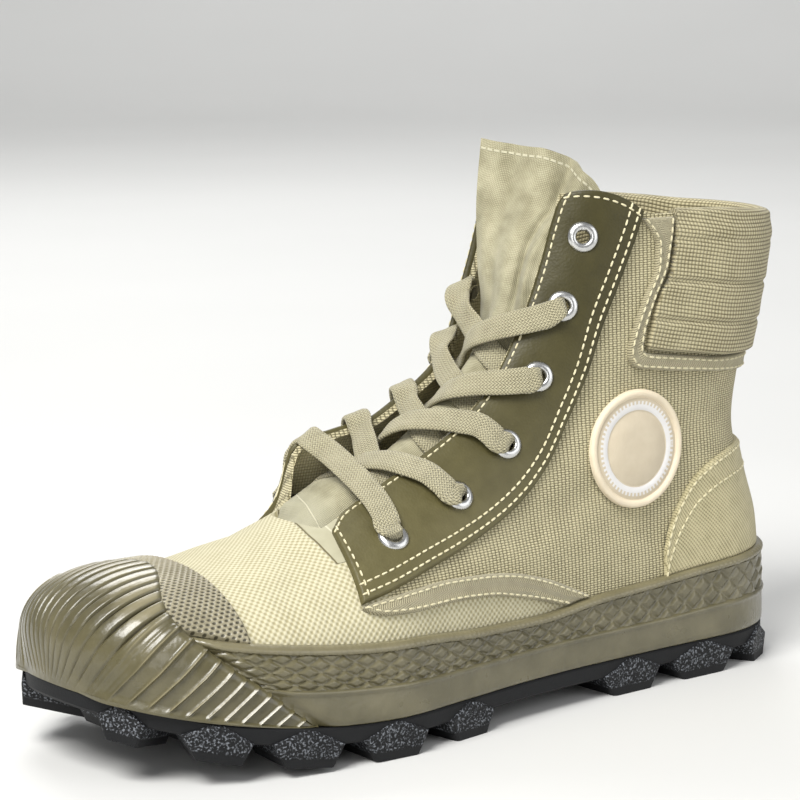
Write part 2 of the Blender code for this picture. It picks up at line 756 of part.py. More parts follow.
def make_eyelet_holes(finish, cutters):
    """One cutter with a round pin through each eyelet's place."""
    long = 14.0 * MM
    work = bmesh.new()
    for side in (LATERAL, MEDIAL):
        for row in EYELET_ROWS:
            bmesh.ops.create_cone(
                work, cap_ends=True, segments=EYELET_SIDES, depth=long, matrix=seat_matrix(side, row),
                radius1=EYELET_HOLE * MM, radius2=EYELET_HOLE * MM,
            )
    mesh = bpy.data.meshes.new("eyelet_holes")
    work.to_mesh(mesh)
    work.free()
    mesh.materials.append(finish)
    made = bpy.data.objects.new("eyelet_holes", mesh)
    cutters.objects.link(made)
    return made


def make_eyelets(finish, home):
    """Flanged tubes: a profile of radius and height, turned by Screw, on one shared mesh."""
    profile = [
        (EYELET_OUT - EYELET_BEVEL, EYELET_HIGH), (EYELET_OUT, 0.0), (EYELET_BARREL, 0.0),
        (EYELET_BARREL, -EYELET_DEEP), (EYELET_BORE, -EYELET_DEEP), (EYELET_BORE, EYELET_HIGH),
    ]
    mesh = bpy.data.meshes.new("eyelet")
    edges = [(k, (k + 1) % len(profile)) for k in range(len(profile))]
    mesh.from_pydata([(r * MM, 0.0, z * MM) for r, z in profile], edges, [])
    mesh.materials.append(finish)
    for side, word in ((LATERAL, "lateral"), (MEDIAL, "medial")):
        for number, row in enumerate(EYELET_ROWS, 1):
            made = bpy.data.objects.new(f"eyelet_{word}_{number}", mesh)
            made.matrix_world = seat_matrix(side, row)
            screw = made.modifiers.new("turn", "SCREW")
            screw.steps = screw.render_steps = EYELET_SIDES
            screw.use_merge_vertices = True
            screw.merge_threshold = WELD
            home.objects.link(made)


# Heel counter: angle from the back, z of its edge
counter_edge = smooth([(0, 80), (59, 78.7), (80, 77), (102, 71.7), (116, 62.8), (123, 53), (126, 42)])
COUNTER_END = 125.0
COUNTER_LOW_Z = 40.0
COUNTER_CLEAR = 0.6


def counter_grid(rows, columns):
    degrees = np.linspace(-COUNTER_END, COUNTER_END, columns)
    x = around(degrees, COUNTER_LOW_Z)[:, 0]
    low = SOLE_TOP + band_top(x) + COUNTER_CLEAR
    high = counter_edge(np.abs(degrees))
    return np.stack([around(degrees, low + (high - low) * share) for share in np.linspace(0, 1, rows)])


def make_heel_counter(finish, home):
    grid = counter_grid(5, 23)
    sheet("heel_counter", [pushed(grid, np.full(grid.shape[:2], GAP))], CLOTH, finish, home)


# Webbing cuff: z, angle of its front edge
cuff_edge = smooth([(113, 136), (121, 135), (136, 130.7), (146, 124.3), (163, 121.7)])
CUFF_LOW_Z = 113.0
CUFF_HIGH_Z = 163.0


def cuff_grid(rows, columns):
    shares = np.linspace(-1, 1, columns)
    high = collar_height(around(shares * cuff_edge(CUFF_HIGH_Z), CUFF_HIGH_Z)[:, 0])
    grid = []
    for up in np.linspace(0, 1, rows):
        z = CUFF_LOW_Z + (high - CUFF_LOW_Z) * up
        grid.append(around(shares * cuff_edge(z), z))
    return np.stack(grid)


def make_collar_cuff(finish, home):
    grid = cuff_grid(4, 25)
    sheet("collar_cuff", [pushed(grid, np.full(grid.shape[:2], GAP))], WEBBING, finish, home)


# Tape round the cuff, from the collar down and round to the back: outer angle and z, inner angle and z
TAPE_ROWS = [
    (130, 163, 123.2, 163), (131.5, 147, 125.8, 147), (136.5, 135, 132, 136), (140.3, 124, 136.2, 122.5),
    (141.8, 115, 137.3, 115), (138, 108.8, 135.5, 112.3), (118, 108, 118, 112.3), (90, 107.2, 90, 112.3),
    (45, 106.2, 45, 112.3), (0, 105.8, 0, 112.3),
]


def tape_grid(count):
    half = spread(TAPE_ROWS, count)
    both = np.concatenate((half * (-1, 1, -1, 1), half[-2::-1]))
    return np.stack((around(both[:, 0], both[:, 1]), around(both[:, 2], both[:, 3])))


def make_collar_tape(finish, home):
    grid = tape_grid(26)
    sheet("collar_tape", [pushed(grid, np.full(grid.shape[:2], GAP))], CLOTH, finish, home)


# Strip up the back: z, distance to the last over upper, tape and cuff in turn
STRIP_ROWS = [
    (82, 0.6), (94, 0.6), (103, 0.8), (105, 2.1), (111, 2.4), (113, 3.4), (125, 3.4), (138, 3.4),
    (150, 3.4), (159.5, 3.4),
]
STRIP_HALF = 16.0


def make_back_strip(finish, home):
    z, lift = np.array(STRIP_ROWS).T
    degrees = np.linspace(-STRIP_HALF, STRIP_HALF, 5)
    grid = around(degrees[None, :], z[:, None])
    sheet("back_strip", [pushed(grid, np.repeat(lift[:, None], 5, axis=1))], CLOTH, finish, home)


# Tape along the lower edge of the quarter: x and z of its upper edge, x and z of its lower edge
SIDE_TAPE_ROWS = [
    (-50, 49.8, -53.5, 47.6), (-46.5, 51, -47.5, 44.9), (-36, 52.3, -34, 44.7), (-22, 52.3, -19, 45),
    (-7, 51.6, -3.4, 43.8), (7.6, 49.9, 11.8, 40.8), (22.7, 46, 22.4, 37.8), (35, 41, 30.5, 35.4),
    (44.5, 36.4, 33, 35.2),
]


def make_side_tape(name, side, finish, home):
    rows = spread(SIDE_TAPE_ROWS, 16)
    grid = np.stack((side_points(rows[:, 0], rows[:, 1], side), side_points(rows[:, 2], rows[:, 3], side)))
    sheet(name, [pushed(grid, np.full(grid.shape[:2], BAND_GAP))], CLOTH, finish, home)


def make_ankle_badge(finish, home):
    """A plain round patch with a raised rim, by rows of radius and distance to the last, under and over."""
    inner = BADGE_RADIUS - BADGE_RIM
    rows = [
        (0.0, GAP), (BADGE_RADIUS, GAP), (BADGE_RADIUS, BADGE_FACE),
        (BADGE_RADIUS - BADGE_BEVEL, BADGE_HIGH), (inner, BADGE_HIGH), (inner - BADGE_BEVEL, BADGE_FACE),
        (0.0, BADGE_FACE),
    ]
    angle = np.linspace(0, 2 * math.pi, BADGE_SIDES, endpoint=False)
    grid = []
    for radius, lift in rows:
        spot = side_points(BADGE_X + radius * np.cos(angle), BADGE_Z + radius * np.sin(angle), LATERAL)
        grid.append(pushed(spot, np.full(BADGE_SIDES, lift)))
    grid = np.stack(grid)
    faces = grid_quads(len(rows), BADGE_SIDES, closed=True)
    new_object("ankle_badge", grid.reshape(-1, 3), faces, finish, home)


# How far a lace strap stands off the last along its way: share, distance of its middle
lace_lift = smooth([(0, 3.5), (0.2, 3.6), (0.45, 4.6), (0.6, 4.6), (0.85, 3.0), (1, 2.2)])
bar_lift = smooth([(0, 3.5), (0.2, 3.7), (0.5, 4.8), (0.8, 3.7), (1, 3.5)])
LACE_CLEAR = 7.4
LACE_TUCK_OFF = 10.5
LACE_TUCK_UP = 8.5
LACE_TUCK_BACK = 4.0


def strap_sections(start, end, lift, count=10):
    """Sections of a flat lace from start to end over the last."""
    shares = np.linspace(0, 1, count)
    base = onto_last(start + (end - start) * shares[:, None])
    facing = outward(base)
    line = base + facing * lift(shares)[:, None]
    along = np.gradient(line, axis=0)
    along /= np.linalg.norm(along, axis=1, keepdims=True)
    wide = np.cross(along, facing)
    wide /= np.linalg.norm(wide, axis=1, keepdims=True)
    high = np.cross(wide, along)
    corners = [(-1, -1), (1, -1), (1, 1), (-1, 1)]
    return np.stack([line + wide * a * LACE_WIDE / 2 + high * b * LACE_THICK / 2 for a, b in corners], 1)


def lace_leave(side, row, towards):
    """Where the lace comes clear of an eyelet's flange, on its way towards a point."""
    spot = side_points(*row, side)
    way = towards - spot
    return spot + way * LACE_CLEAR / np.linalg.norm(way)


def lace_tuck(side, row, following):
    """Where the lace goes in under the edge of the throat, just above an eyelet."""
    run = np.array(following) - np.array(row)
    x = row[0] + run[0] * LACE_TUCK_UP / np.linalg.norm(run) - LACE_TUCK_BACK
    return top_points(x, side * LACE_TUCK_OFF)


def make_laces(finish, home, cutters):
    ends = [side_points(*EYELET_ROWS[0], side) for side in (LATERAL, MEDIAL)]
    bar = [lace_leave(LATERAL, EYELET_ROWS[0], ends[1]), lace_leave(MEDIAL, EYELET_ROWS[0], ends[0])]
    loft("lace_bar", strap_sections(*bar, bar_lift, 12), finish, home)
    for number in range(1, LACED):
        low, high = EYELET_ROWS[number - 1], EYELET_ROWS[number]
        straps = []
        for side, holder in ((LATERAL, home), (MEDIAL, cutters)):
            tuck = lace_tuck(-side, low, high)
            sections = strap_sections(lace_leave(side, high, tuck), tuck, lace_lift)
            word = f"lace_cross_{number}" if holder is home else f"lace_under_{number}"
            straps.append(loft(word, sections, finish, holder))
        join = straps[0].modifiers.new("crossing", "BOOLEAN")
        join.operation = "UNION"
        join.object = straps[1]


def main():
    for old in list(bpy.data.objects):
        bpy.data.objects.remove(old)
    home = bpy.data.collections.new("canvas_combat_boot")
    cutters = bpy.data.collections.new("cutters")
    for collection in (home, cutters):
        bpy.context.scene.collection.children.link(collection)
    finishes = {
        "outsole_rubber": new_material("outsole_rubber", (0.03, 0.033, 0.036), 0.7),
        "band_rubber": new_material("band_rubber", (0.19, 0.17, 0.10), 0.45),
        "canvas": new_material("canvas", (0.42, 0.38, 0.25), 0.9),
        "leather": new_material("leather", (0.11, 0.095, 0.045), 0.55),
        "webbing": new_material("webbing", (0.45, 0.41, 0.28), 0.9),
        "lace_cord": new_material("lace_cord", (0.45, 0.42, 0.32), 0.9),
        "eyelet_metal": new_material("eyelet_metal", (0.75, 0.75, 0.76), 0.25, 1.0),
        "insole_cloth": new_material("insole_cloth", (0.30, 0.28, 0.21), 0.9),
        "badge_rubber": new_material("badge_rubber", (0.62, 0.52, 0.36), 0.6),
    }
    holes = make_eyelet_holes(finishes["leather"], cutters)
    make_outsole(finishes["outsole_rubber"], home, cutters)
    make_insole(finishes["insole_cloth"], home)
    make_toe_cap(finishes["band_rubber"], home)
    make_toe_patch(finishes["band_rubber"], home)
    make_bands(finishes["band_rubber"], home)
    make_upper(finishes["canvas"], home, holes)
    make_tongue(finishes["canvas"], home)
    for side, word in ((LATERAL, "lateral"), (MEDIAL, "medial")):
        make_eyestay(f"eyestay_{word}", side, finishes["leather"], home, holes)
        make_side_tape(f"side_tape_{word}", side, finishes["canvas"], home)
    make_eyelets(finishes["eyelet_metal"], home)
    make_heel_counter(finishes["canvas"], home)
    make_collar_cuff(finishes["webbing"], home)
    make_collar_tape(finishes["canvas"], home)
    make_back_strip(finishes["leather"], home)
    make_ankle_badge(finishes["badge_rubber"], home)
    make_laces(finishes["lace_cord"], home, cutters)
    for tool in cutters.objects:
        tool.hide_render = True
        tool.display_type = "WIRE"


main()
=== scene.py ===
"""Canvas combat boot for a left foot: its looks, piece by piece, on the last that its solids were built on.

Sizes and tables are in millimetres on the last, with the toe to -X, the outer side to -Y and the floor at
z = 0; place() turns them into metres. A grid is an array of rows and columns of points, and a patch is a
grid with the marks that its finish reads and the number of its finish.
"""
import math

import bmesh
import bpy
import numpy as np
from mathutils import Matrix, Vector


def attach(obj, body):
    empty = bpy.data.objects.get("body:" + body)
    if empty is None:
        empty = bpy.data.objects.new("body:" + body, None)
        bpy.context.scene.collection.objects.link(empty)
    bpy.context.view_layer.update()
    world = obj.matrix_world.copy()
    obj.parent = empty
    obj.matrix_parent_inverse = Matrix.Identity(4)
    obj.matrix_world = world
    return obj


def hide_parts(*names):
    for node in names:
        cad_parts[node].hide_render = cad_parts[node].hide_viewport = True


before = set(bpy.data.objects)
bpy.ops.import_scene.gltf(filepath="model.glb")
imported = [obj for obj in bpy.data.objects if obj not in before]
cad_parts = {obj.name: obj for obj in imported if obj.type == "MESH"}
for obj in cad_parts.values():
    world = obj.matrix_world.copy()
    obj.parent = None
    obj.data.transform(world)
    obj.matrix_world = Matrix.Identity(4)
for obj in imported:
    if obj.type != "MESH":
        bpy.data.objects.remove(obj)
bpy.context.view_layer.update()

# Metres in a millimetre, how close points are that become one, and the angle of an edge that stays sharp
MM = 0.001
WELD = 0.000004
SHARP_ANGLE = 55

# The middle of the finished boot in plan, which is the origin
MIDDLE_X = 2.224
MIDDLE_Y = 1.346

# Last: toe, ball, heel and shaft
TOE_X = -142.0
TOE_BEND_X = -92.0
TOE_SPRING = 17.0
SPRING_X = -45.0
SPRING_RUN = 102.0
TOE_SWING = 7.0
SWING_X = 20.0
SWING_RUN = 160.0
HEEL_ROUND = 38.0
SHAFT_HALF = 33.5
SHAFT_START_Z = 55.0
SHAFT_FULL_Z = 105.0
SECTION_POWER = 2.15
TOP_POWER = 2.3
TOE_POWER = 2.7
HEEL_POWER = 2.3
REAR_X = 143.0
SHOULDER_LIFT = 0.6
SHAFT_AXIS_X = 105.0
COLLAR_FRONT_X = 48.5
COLLAR_BACK_Z = 160.0

# Bounds and rounds of the searches for points of the last
NEAR = 2.0
FAR = 90.0
ROUNDS = 26
SLIDES = 14
LONGEST_SLIDE = 3.0
REAR_REACH = 10.0
COURSE_POINTS = 800

# Sole
SOLE_TOP = 13.0
SEAT = 0.3
PLATE_BOTTOM = 7.0
EDGE_OUT = 4.4
LUG_TAPER = 0.66
INSOLE_THICK = 4.0
INSOLE_CLEAR = 1.1

# Upper and what is sewn on it
WALL = 2.0
GAP = 0.6
BAND_GAP = 0.8
BAND_LIP = 2.6
LEATHER = 1.6
CLOTH = 1.0
THROAT_HALF = 14.5
THROAT_X = -52.0
TONGUE_THICK = 1.5
TONGUE_TILT = 12.0
TONGUE_TILT_POWER = 4
# Height over the last of the edges of what is sewn or glued on, how far a panel's back is sunk below that,
# and how far in a tape's edge is rolled
EDGE_LOW = 0.2
BACK_SINK = 0.4
TAPE_ROLL = 0.8

# Eyelets and lace
EYELET_HOLE = 2.8
LACED = 5
LACE_WIDE = 9.0
LACE_THICK = 1.8

# Ankle badge
BADGE_X = 68.9
BADGE_Z = 84.2

# Sides of the boot, as signs of y
LATERAL = -1
MEDIAL = 1


def smooth(rows):
    """Monotone curve through (place, value) rows, level beyond both ends."""
    place_of, value = np.array(rows, float).T
    step = np.diff(place_of)
    rate = np.diff(value) / step
    before, after = rate[:-1], rate[1:]
    same_way = before * after > 0
    total = np.where(same_way, before + after, 1.0)
    inner = np.where(same_way, 2 * before * after / total, 0.0)
    slant = np.concatenate((rate[:1], inner, rate[-1:]))

    def curve(at):
        """Cubic between the two rows about a place, with their slants."""
        at = np.clip(np.asarray(at, float), place_of[0], place_of[-1])
        i = np.clip(np.searchsorted(place_of, at, side="right") - 1, 0, len(step) - 1)
        t = (at - place_of[i]) / step[i]
        ends = value[i] * (1 + 2 * t) * (1 - t) ** 2 + value[i + 1] * t * t * (3 - 2 * t)
        bends = slant[i] * t * (1 - t) ** 2 + slant[i + 1] * t * t * (t - 1)
        return ends + bends * step[i]

    return curve


# Top line of the last over its length: x, z
ridge = smooth([
    (-150, 60), (-130, 61.5), (-115, 61), (-98, 60.2), (-76, 63.2), (-54, 70), (-33, 81),
    (-10, 94), (10, 108.5), (22, 122), (32, 140), (40, 160), (46, 180), (60, 230), (90, 350),
    (150, 700),
])
# Half width of the foot on its outer and its inner side: x, half width
lateral_half = smooth([
    (-150, 43), (-110, 44.5), (-80, 47.5), (-50, 47.5), (-20, 43.5), (5, 39.5), (40, 36), (80, 34.5),
    (110, 34),
])
medial_half = smooth([
    (-150, 43), (-110, 45), (-80, 45.5), (-50, 42), (-20, 34.5), (10, 30.5), (40, 30.5), (80, 32.5),
    (110, 33),
])
# Height at which the sides begin to close over the foot: x, z
shoulder_line = smooth([(-60, 30), (30, 38)])
# How much the ankle draws the width in: z, share
ankle = smooth([(13, 1.0), (30, 1.0), (45, 0.985), (70, 0.93), (90, 0.93), (120, 0.98), (165, 1.0)])
# Back line of the heel and shaft: z, x
back = smooth([
    (0, 141), (20, 142.5), (35, 143.5), (50, 142.5), (70, 137), (88, 133), (105, 135), (130, 140),
    (150, 144), (175, 147),
])
# Line between the two rubber bands, and the top of the upper one, over the sole: x, height
band_line = smooth([(-150, 12), (-67, 11.4), (-25, 10.4), (70, 10.4), (116, 12), (147, 12.5)])
band_top = smooth([
    (-150, 25), (-85, 25.5), (-62, 24.8), (-37, 23.9), (-8, 21.5), (21, 20.6), (47, 22.9), (75, 24.4),
    (94, 25.8), (145, 28.5),
])
# How far the sole draws in at the toe and spreads beside the ball: x, extra width
ball_flare = smooth([(-150, -2.6), (-130, -2), (-112, 0), (-80, 1.4), (-55, 1.8), (-20, 0.8), (10, 0)])
# How far the upper is drawn in under the rubber of the toe: x, depth
cap_sink = smooth([(-102, 1.1), (-76, 0)])


def rise(x):
    """Toe spring: how far the sole has lifted at x."""
    return TOE_SPRING * np.clip((SPRING_X - x) / SPRING_RUN, 0, None) ** 2


def centre(x):
    """The last's middle line in plan, which swings to the big toe."""
    return TOE_SWING * np.clip((SWING_X - x) / SWING_RUN, 0, None) ** 2


def shoulder(x):
    """Height at which the sides of the last begin to close over the foot."""
    return shoulder_line(x) + SHOULDER_LIFT * rise(x)


def closing(x, z):
    """How far the last has closed at x, z in side view: 0 in the middle, 1 on its outline."""
    toe = np.clip((TOE_BEND_X - x) / (TOE_BEND_X - TOE_X), 0, None)
    top = np.clip((z - shoulder(x)) / (ridge(x) - shoulder(x)), 0, None)
    heel = np.clip((x - back(z) + HEEL_ROUND) / HEEL_ROUND, 0, None)
    return toe**TOE_POWER + top**TOP_POWER + heel**HEEL_POWER


def full_half(x, z, side):
    """Half width before closing: the foot's below, the shaft's above."""
    foot = np.where(side < 0, lateral_half(x), medial_half(x))
    up = np.clip((z - SHAFT_START_Z) / (SHAFT_FULL_Z - SHAFT_START_Z), 0, 1)
    up = up * up * (3 - 2 * up)
    return (foot * (1 - up) + SHAFT_HALF * up) * ankle(z)


def half_width(x, z, side):
    """Half width of the last at x and z: the full one, drawn in as its outline closes."""
    return full_half(x, z, side) * np.clip(1 - closing(x, z), 0, None) ** (1 / SECTION_POWER)


def level(points):
    """The last as one function: below 0 inside, 0 on it, above 0 outside."""
    x, y, z = np.moveaxis(points, -1, 0)
    off = y - centre(x)
    across = np.abs(off) / full_half(x, z, np.sign(off))
    return across**SECTION_POWER + closing(x, z) - 1


def outward(points, flat=False):
    """Unit normal of the last at points, or its level part."""
    reach = 0.02
    steps = reach * np.eye(3)
    slope = np.stack([level(points + step) - level(points - step) for step in steps], -1)
    if flat:
        slope[..., 2] = 0
    return slope / np.linalg.norm(slope, axis=-1, keepdims=True)


def pushed(points, lift, flat=False):
    """Points moved off the last by lift, or moved out level with their distance to the sole kept."""
    moved = points + np.asarray(lift, float)[..., None] * outward(points, flat)
    if flat:
        moved[..., 2] += rise(moved[..., 0]) - rise(points[..., 0])
    return moved


def onto_last(points):
    """Points slid along the slope of the last until they lie on it."""
    points = np.array(points, float)
    reach = 0.02
    for _ in range(SLIDES):
        normal = outward(points)
        change = (level(points + reach * normal) - level(points - reach * normal)) / (2 * reach)
        points -= np.clip(level(points) / change, -LONGEST_SLIDE, LONGEST_SLIDE)[..., None] * normal
    return points


def side_points(x, z, side):
    """Points of the last at x and z, on one side."""
    x, z = np.broadcast_arrays(np.asarray(x, float), np.asarray(z, float))
    return np.stack((x, centre(x) + side * half_width(x, z, side), z), -1)


def toe_top(x):
    """Height of the last's top line at x, with the toe rounded off."""
    toe = np.clip((TOE_BEND_X - x) / (TOE_BEND_X - TOE_X), 0, 1)
    return shoulder(x) + (ridge(x) - shoulder(x)) * (1 - toe**TOE_POWER) ** (1 / TOP_POWER)


def top_points(x, off):
    """Points of the last's upper side, off its middle line by off, to -Y or +Y."""
    x, off = np.broadcast_arrays(np.asarray(x, float), np.asarray(off, float))
    toe = np.clip((TOE_BEND_X - x) / (TOE_BEND_X - TOE_X), 0, None)
    z = ridge(x)
    for _ in range(ROUNDS):
        across = np.abs(off) / full_half(x, z, np.sign(off))
        left = np.clip(1 - toe**TOE_POWER - across**SECTION_POWER, 0, None)
        z = shoulder(x) + (ridge(x) - shoulder(x)) * left ** (1 / TOP_POWER)
    return onto_last(np.stack((x, centre(x) + off, z), -1))


def resample(path, fractions):
    """Points at fractions of a path, measured by length and by turning, so that bends get more."""
    turn_weight = 40.0
    step = np.diff(path, axis=0)
    heading = np.unwrap(np.arctan2(step[:, 1], step[:, 0]))
    turning = np.abs(np.diff(heading, prepend=heading[:1]))
    measure = np.cumsum(np.linalg.norm(step, axis=1) + turn_weight * turning)
    measure = np.concatenate(([0.0], measure)) / measure[-1]
    return np.stack([np.interp(fractions, measure, path[:, k]) for k in range(3)], -1)


def course(height, side, start_x):
    """Close-set points on one side of the last at z = height(x), from start_x to the heel."""
    near, far = REAR_X - HEEL_ROUND, REAR_X + REAR_REACH
    for _ in range(ROUNDS):
        middle = (near + far) / 2
        if closing(middle, height(middle)) < 1:
            near = middle
        else:
            far = middle
    turn = np.linspace(0, math.pi, COURSE_POINTS)
    x = start_x + (near - start_x) * (1 - np.cos(turn)) / 2
    return side_points(x, height(x), side)


def on_sole(x):
    """Height of a row that lies on the sole: 0 all along."""
    return 0 * x


def over_sole(height):
    """Height function of a row that keeps its distance to the sole."""
    return lambda x: SOLE_TOP + rise(x) + height(x)


def row_height(front_x, front_z, rear_z):
    """Height function of a row of the upper, from its front point to its point on the back line."""
    gain = front_z - rear_z - rise(front_x)
    return lambda x: rear_z + rise(x) + gain * np.clip((REAR_X - x) / (REAR_X - front_x), 0, None) ** 2


def around(degrees, z):
    """Points of the heel and shaft at an angle round their axis, 0 at the back and + on the inner side."""
    degrees, z = np.broadcast_arrays(np.asarray(degrees, float), np.asarray(z, float))
    angle = np.radians(degrees)
    near, far = np.full(angle.shape, NEAR), np.full(angle.shape, FAR)
    for _ in range(ROUNDS):
        middle = (near + far) / 2
        spot = np.stack((SHAFT_AXIS_X + middle * np.cos(angle), middle * np.sin(angle), z), -1)
        inside = level(spot) < 0
        near, far = np.where(inside, middle, near), np.where(inside, far, middle)
    return np.stack((SHAFT_AXIS_X + near * np.cos(angle), near * np.sin(angle), z), -1)


def spread(rows, count):
    """A table of rows turned into count rows on smooth curves through them."""
    rows = np.array(rows, float)
    at = np.linspace(0, len(rows) - 1, count)
    return np.stack([smooth(list(enumerate(column)))(at) for column in rows.T], -1)


def place(points):
    """Millimetres on the last to metres from the boot's origin."""
    return (np.asarray(points, float) - (MIDDLE_X, MIDDLE_Y, 0.0)) * MM


def runs(grid, axis):
    """Length run so far along one axis of a grid, from its start."""
    run = np.cumsum(np.linalg.norm(np.diff(grid, axis=axis), axis=-1), axis=axis)
    return np.concatenate((np.zeros_like(np.take(run, [0], axis=axis)), run), axis=axis)


def cloth_marks(grid):
    """Marks of a weave: mm along the grid's rows from their middle, mm up its columns, and a spare 0."""
    along = runs(grid, 1)
    along = along - along[:, along.shape[1] // 2][:, None]
    return np.stack((along, runs(grid, 0), np.zeros(grid.shape[:2])), -1)


def from_edge(grid):
    """Distance of each point of a grid to the nearest of its four edges."""
    along, up = runs(grid, 1), runs(grid, 0)
    return np.minimum.reduce((along, along[:, -1:] - along, up, up[-1:] - up))


def edge_shares(count, roll):
    """Shares from 0 to 1 in even steps, with more at both ends, where an edge that wide is rolled."""
    near = roll * np.array((0.08, 0.3, 0.65))
    return np.unique(np.concatenate((np.linspace(0, 1, count), near, 1 - near)))


def inset(grid, far):
    """The line of points that lie far along a grid's rows from its first column."""
    run = runs(grid, 1)
    rows = np.arange(len(grid))
    after = np.clip((run < far).sum(1), 1, run.shape[1] - 1)
    share = (far - run[rows, after - 1]) / (run[rows, after] - run[rows, after - 1])
    return grid[rows, after - 1] + (grid[rows, after] - grid[rows, after - 1]) * share[:, None]


def turned(grid):
    """A grid with its rows and columns exchanged."""
    return np.swapaxes(grid, 0, 1)


def borders(grid):
    """The edges of a grid: first and last row, first and last column."""
    return grid[0], grid[-1], grid[:, 0], grid[:, -1]


def shell(outer, inner, marks, kind=0, lining=0):
    """Patches of a closed shell: two grids of one size and the rims between their edges."""
    rims = []
    for over, under, mark in zip(borders(outer), borders(inner), borders(marks)):
        rims.append((np.stack((over, under)), np.stack((mark, mark)), kind))
    return [(outer, marks, kind), (inner, marks, lining), *rims]


def rolled(far, roll):
    """Height of an edge rolled over as a quarter circle: 0 on the edge, 1 at roll or more from it."""
    return np.sqrt(1 - (1 - np.clip(far / roll, 0, 1)) ** 2)


def panel(grid, high, roll):
    """Patches of a sewn-on piece: its face stands high over the last and rolls down at its edges."""
    lift = EDGE_LOW + (high - EDGE_LOW) * rolled(from_edge(grid), roll)
    return shell(pushed(grid, lift), pushed(grid, EDGE_LOW - BACK_SINK), cloth_marks(grid))


def make_piece(name, patches, finishes, nodes, sharp=SHARP_ANGLE):
    """Patches welded into one mesh that rides on the boot in place of its CAD nodes."""
    points, marks, quads, kinds, start = [], [], [], [], 0
    for grid, mark, kind in patches:
        rows, columns = grid.shape[:2]
        index = start + np.arange(rows * columns).reshape(rows, columns)
        corners = (index[:-1, :-1], index[:-1, 1:], index[1:, 1:], index[1:, :-1])
        quads.append(np.stack(corners, -1).reshape(-1, 4))
        kinds.append(np.full(len(quads[-1]), kind))
        points.append(grid.reshape(-1, 3))
        marks.append(mark.reshape(-1, 3))
        start += rows * columns
    mesh = bpy.data.meshes.new(name)
    mesh.from_pydata(place(np.concatenate(points)), [], np.concatenate(quads))
    mesh.polygons.foreach_set("material_index", np.concatenate(kinds).astype(np.int32))
    layer = mesh.attributes.new("marks", "FLOAT_VECTOR", "POINT")
    layer.data.foreach_set("vector", np.concatenate(marks).astype(np.float32).ravel())
    work = bmesh.new()
    work.from_mesh(mesh)
    bmesh.ops.remove_doubles(work, verts=work.verts, dist=WELD)
    bmesh.ops.recalc_face_normals(work, faces=work.faces)
    work.to_mesh(mesh)
    work.free()
    mesh.shade_smooth()
    mesh.set_sharp_from_angle(angle=math.radians(sharp))
    for finish in finishes:
        mesh.materials.append(finish)
    made = bpy.data.objects.new(name, mesh)
    bpy.context.scene.collection.objects.link(made)
    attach(made, "root")
    if nodes:
        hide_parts(*nodes)
    return made


def plain_marks(grid):
    """Marks of a patch whose finish reads none: all 0."""
    return np.zeros(grid.shape)


class Wire:
    """A number running through a material's nodes, so that its formulas read as sums and products."""

    def __init__(self, tree, socket):
        self.tree = tree
        self.socket = socket

    def through(self, operation, *others):
        """This number and others, which are wires or plain numbers, put through one operation."""
        node = self.tree.nodes.new("ShaderNodeMath")
        node.operation = operation
        for slot, value in zip(node.inputs, (self, *others)):
            if isinstance(value, Wire):
                self.tree.links.new(value.socket, slot)
            else:
                slot.default_value = value
        return Wire(self.tree, node.outputs[0])

    def __add__(self, other):
        return self.through("ADD", other)

    def __sub__(self, other):
        return self.through("SUBTRACT", other)

    def __mul__(self, other):
        return self.through("MULTIPLY", other)

    def __truediv__(self, other):
        return self.through("DIVIDE", other)

    def __pow__(self, power):
        return self.through("POWER", power)

    def sine(self):
        """Sine of the number as an angle in radians."""
        return self.through("SINE")

    def size(self):
        """The number without its sign."""
        return self.through("ABSOLUTE")

    def part(self):
        """What is left of the number above its whole part."""
        return self.through("FRACT")

    def above(self, bound):
        """1 where the number is above bound, 0 elsewhere."""
        return self.through("GREATER_THAN", bound)

    def lower(self, other):
        """The lower of two numbers."""
        return self.through("MINIMUM", other)

    def ramp(self, start, end):
        """0 below start and 1 above end, with a soft step between them."""
        node = self.tree.nodes.new("ShaderNodeMapRange")
        node.interpolation_type = "SMOOTHSTEP"
        node.inputs["From Min"].default_value = start
        node.inputs["From Max"].default_value = end
        self.tree.links.new(self.socket, node.inputs["Value"])
        return Wire(self.tree, node.outputs["Result"])


def paint(red, green, blue):
    """A screen colour, 0 to 255 a channel, as the linear light that a shader takes."""
    shares = np.array((red, green, blue)) / 255
    linear = np.where(shares > 0.04045, ((shares + 0.055) / 1.055) ** 2.4, shares / 12.92)
    return (*map(float, linear), 1.0)


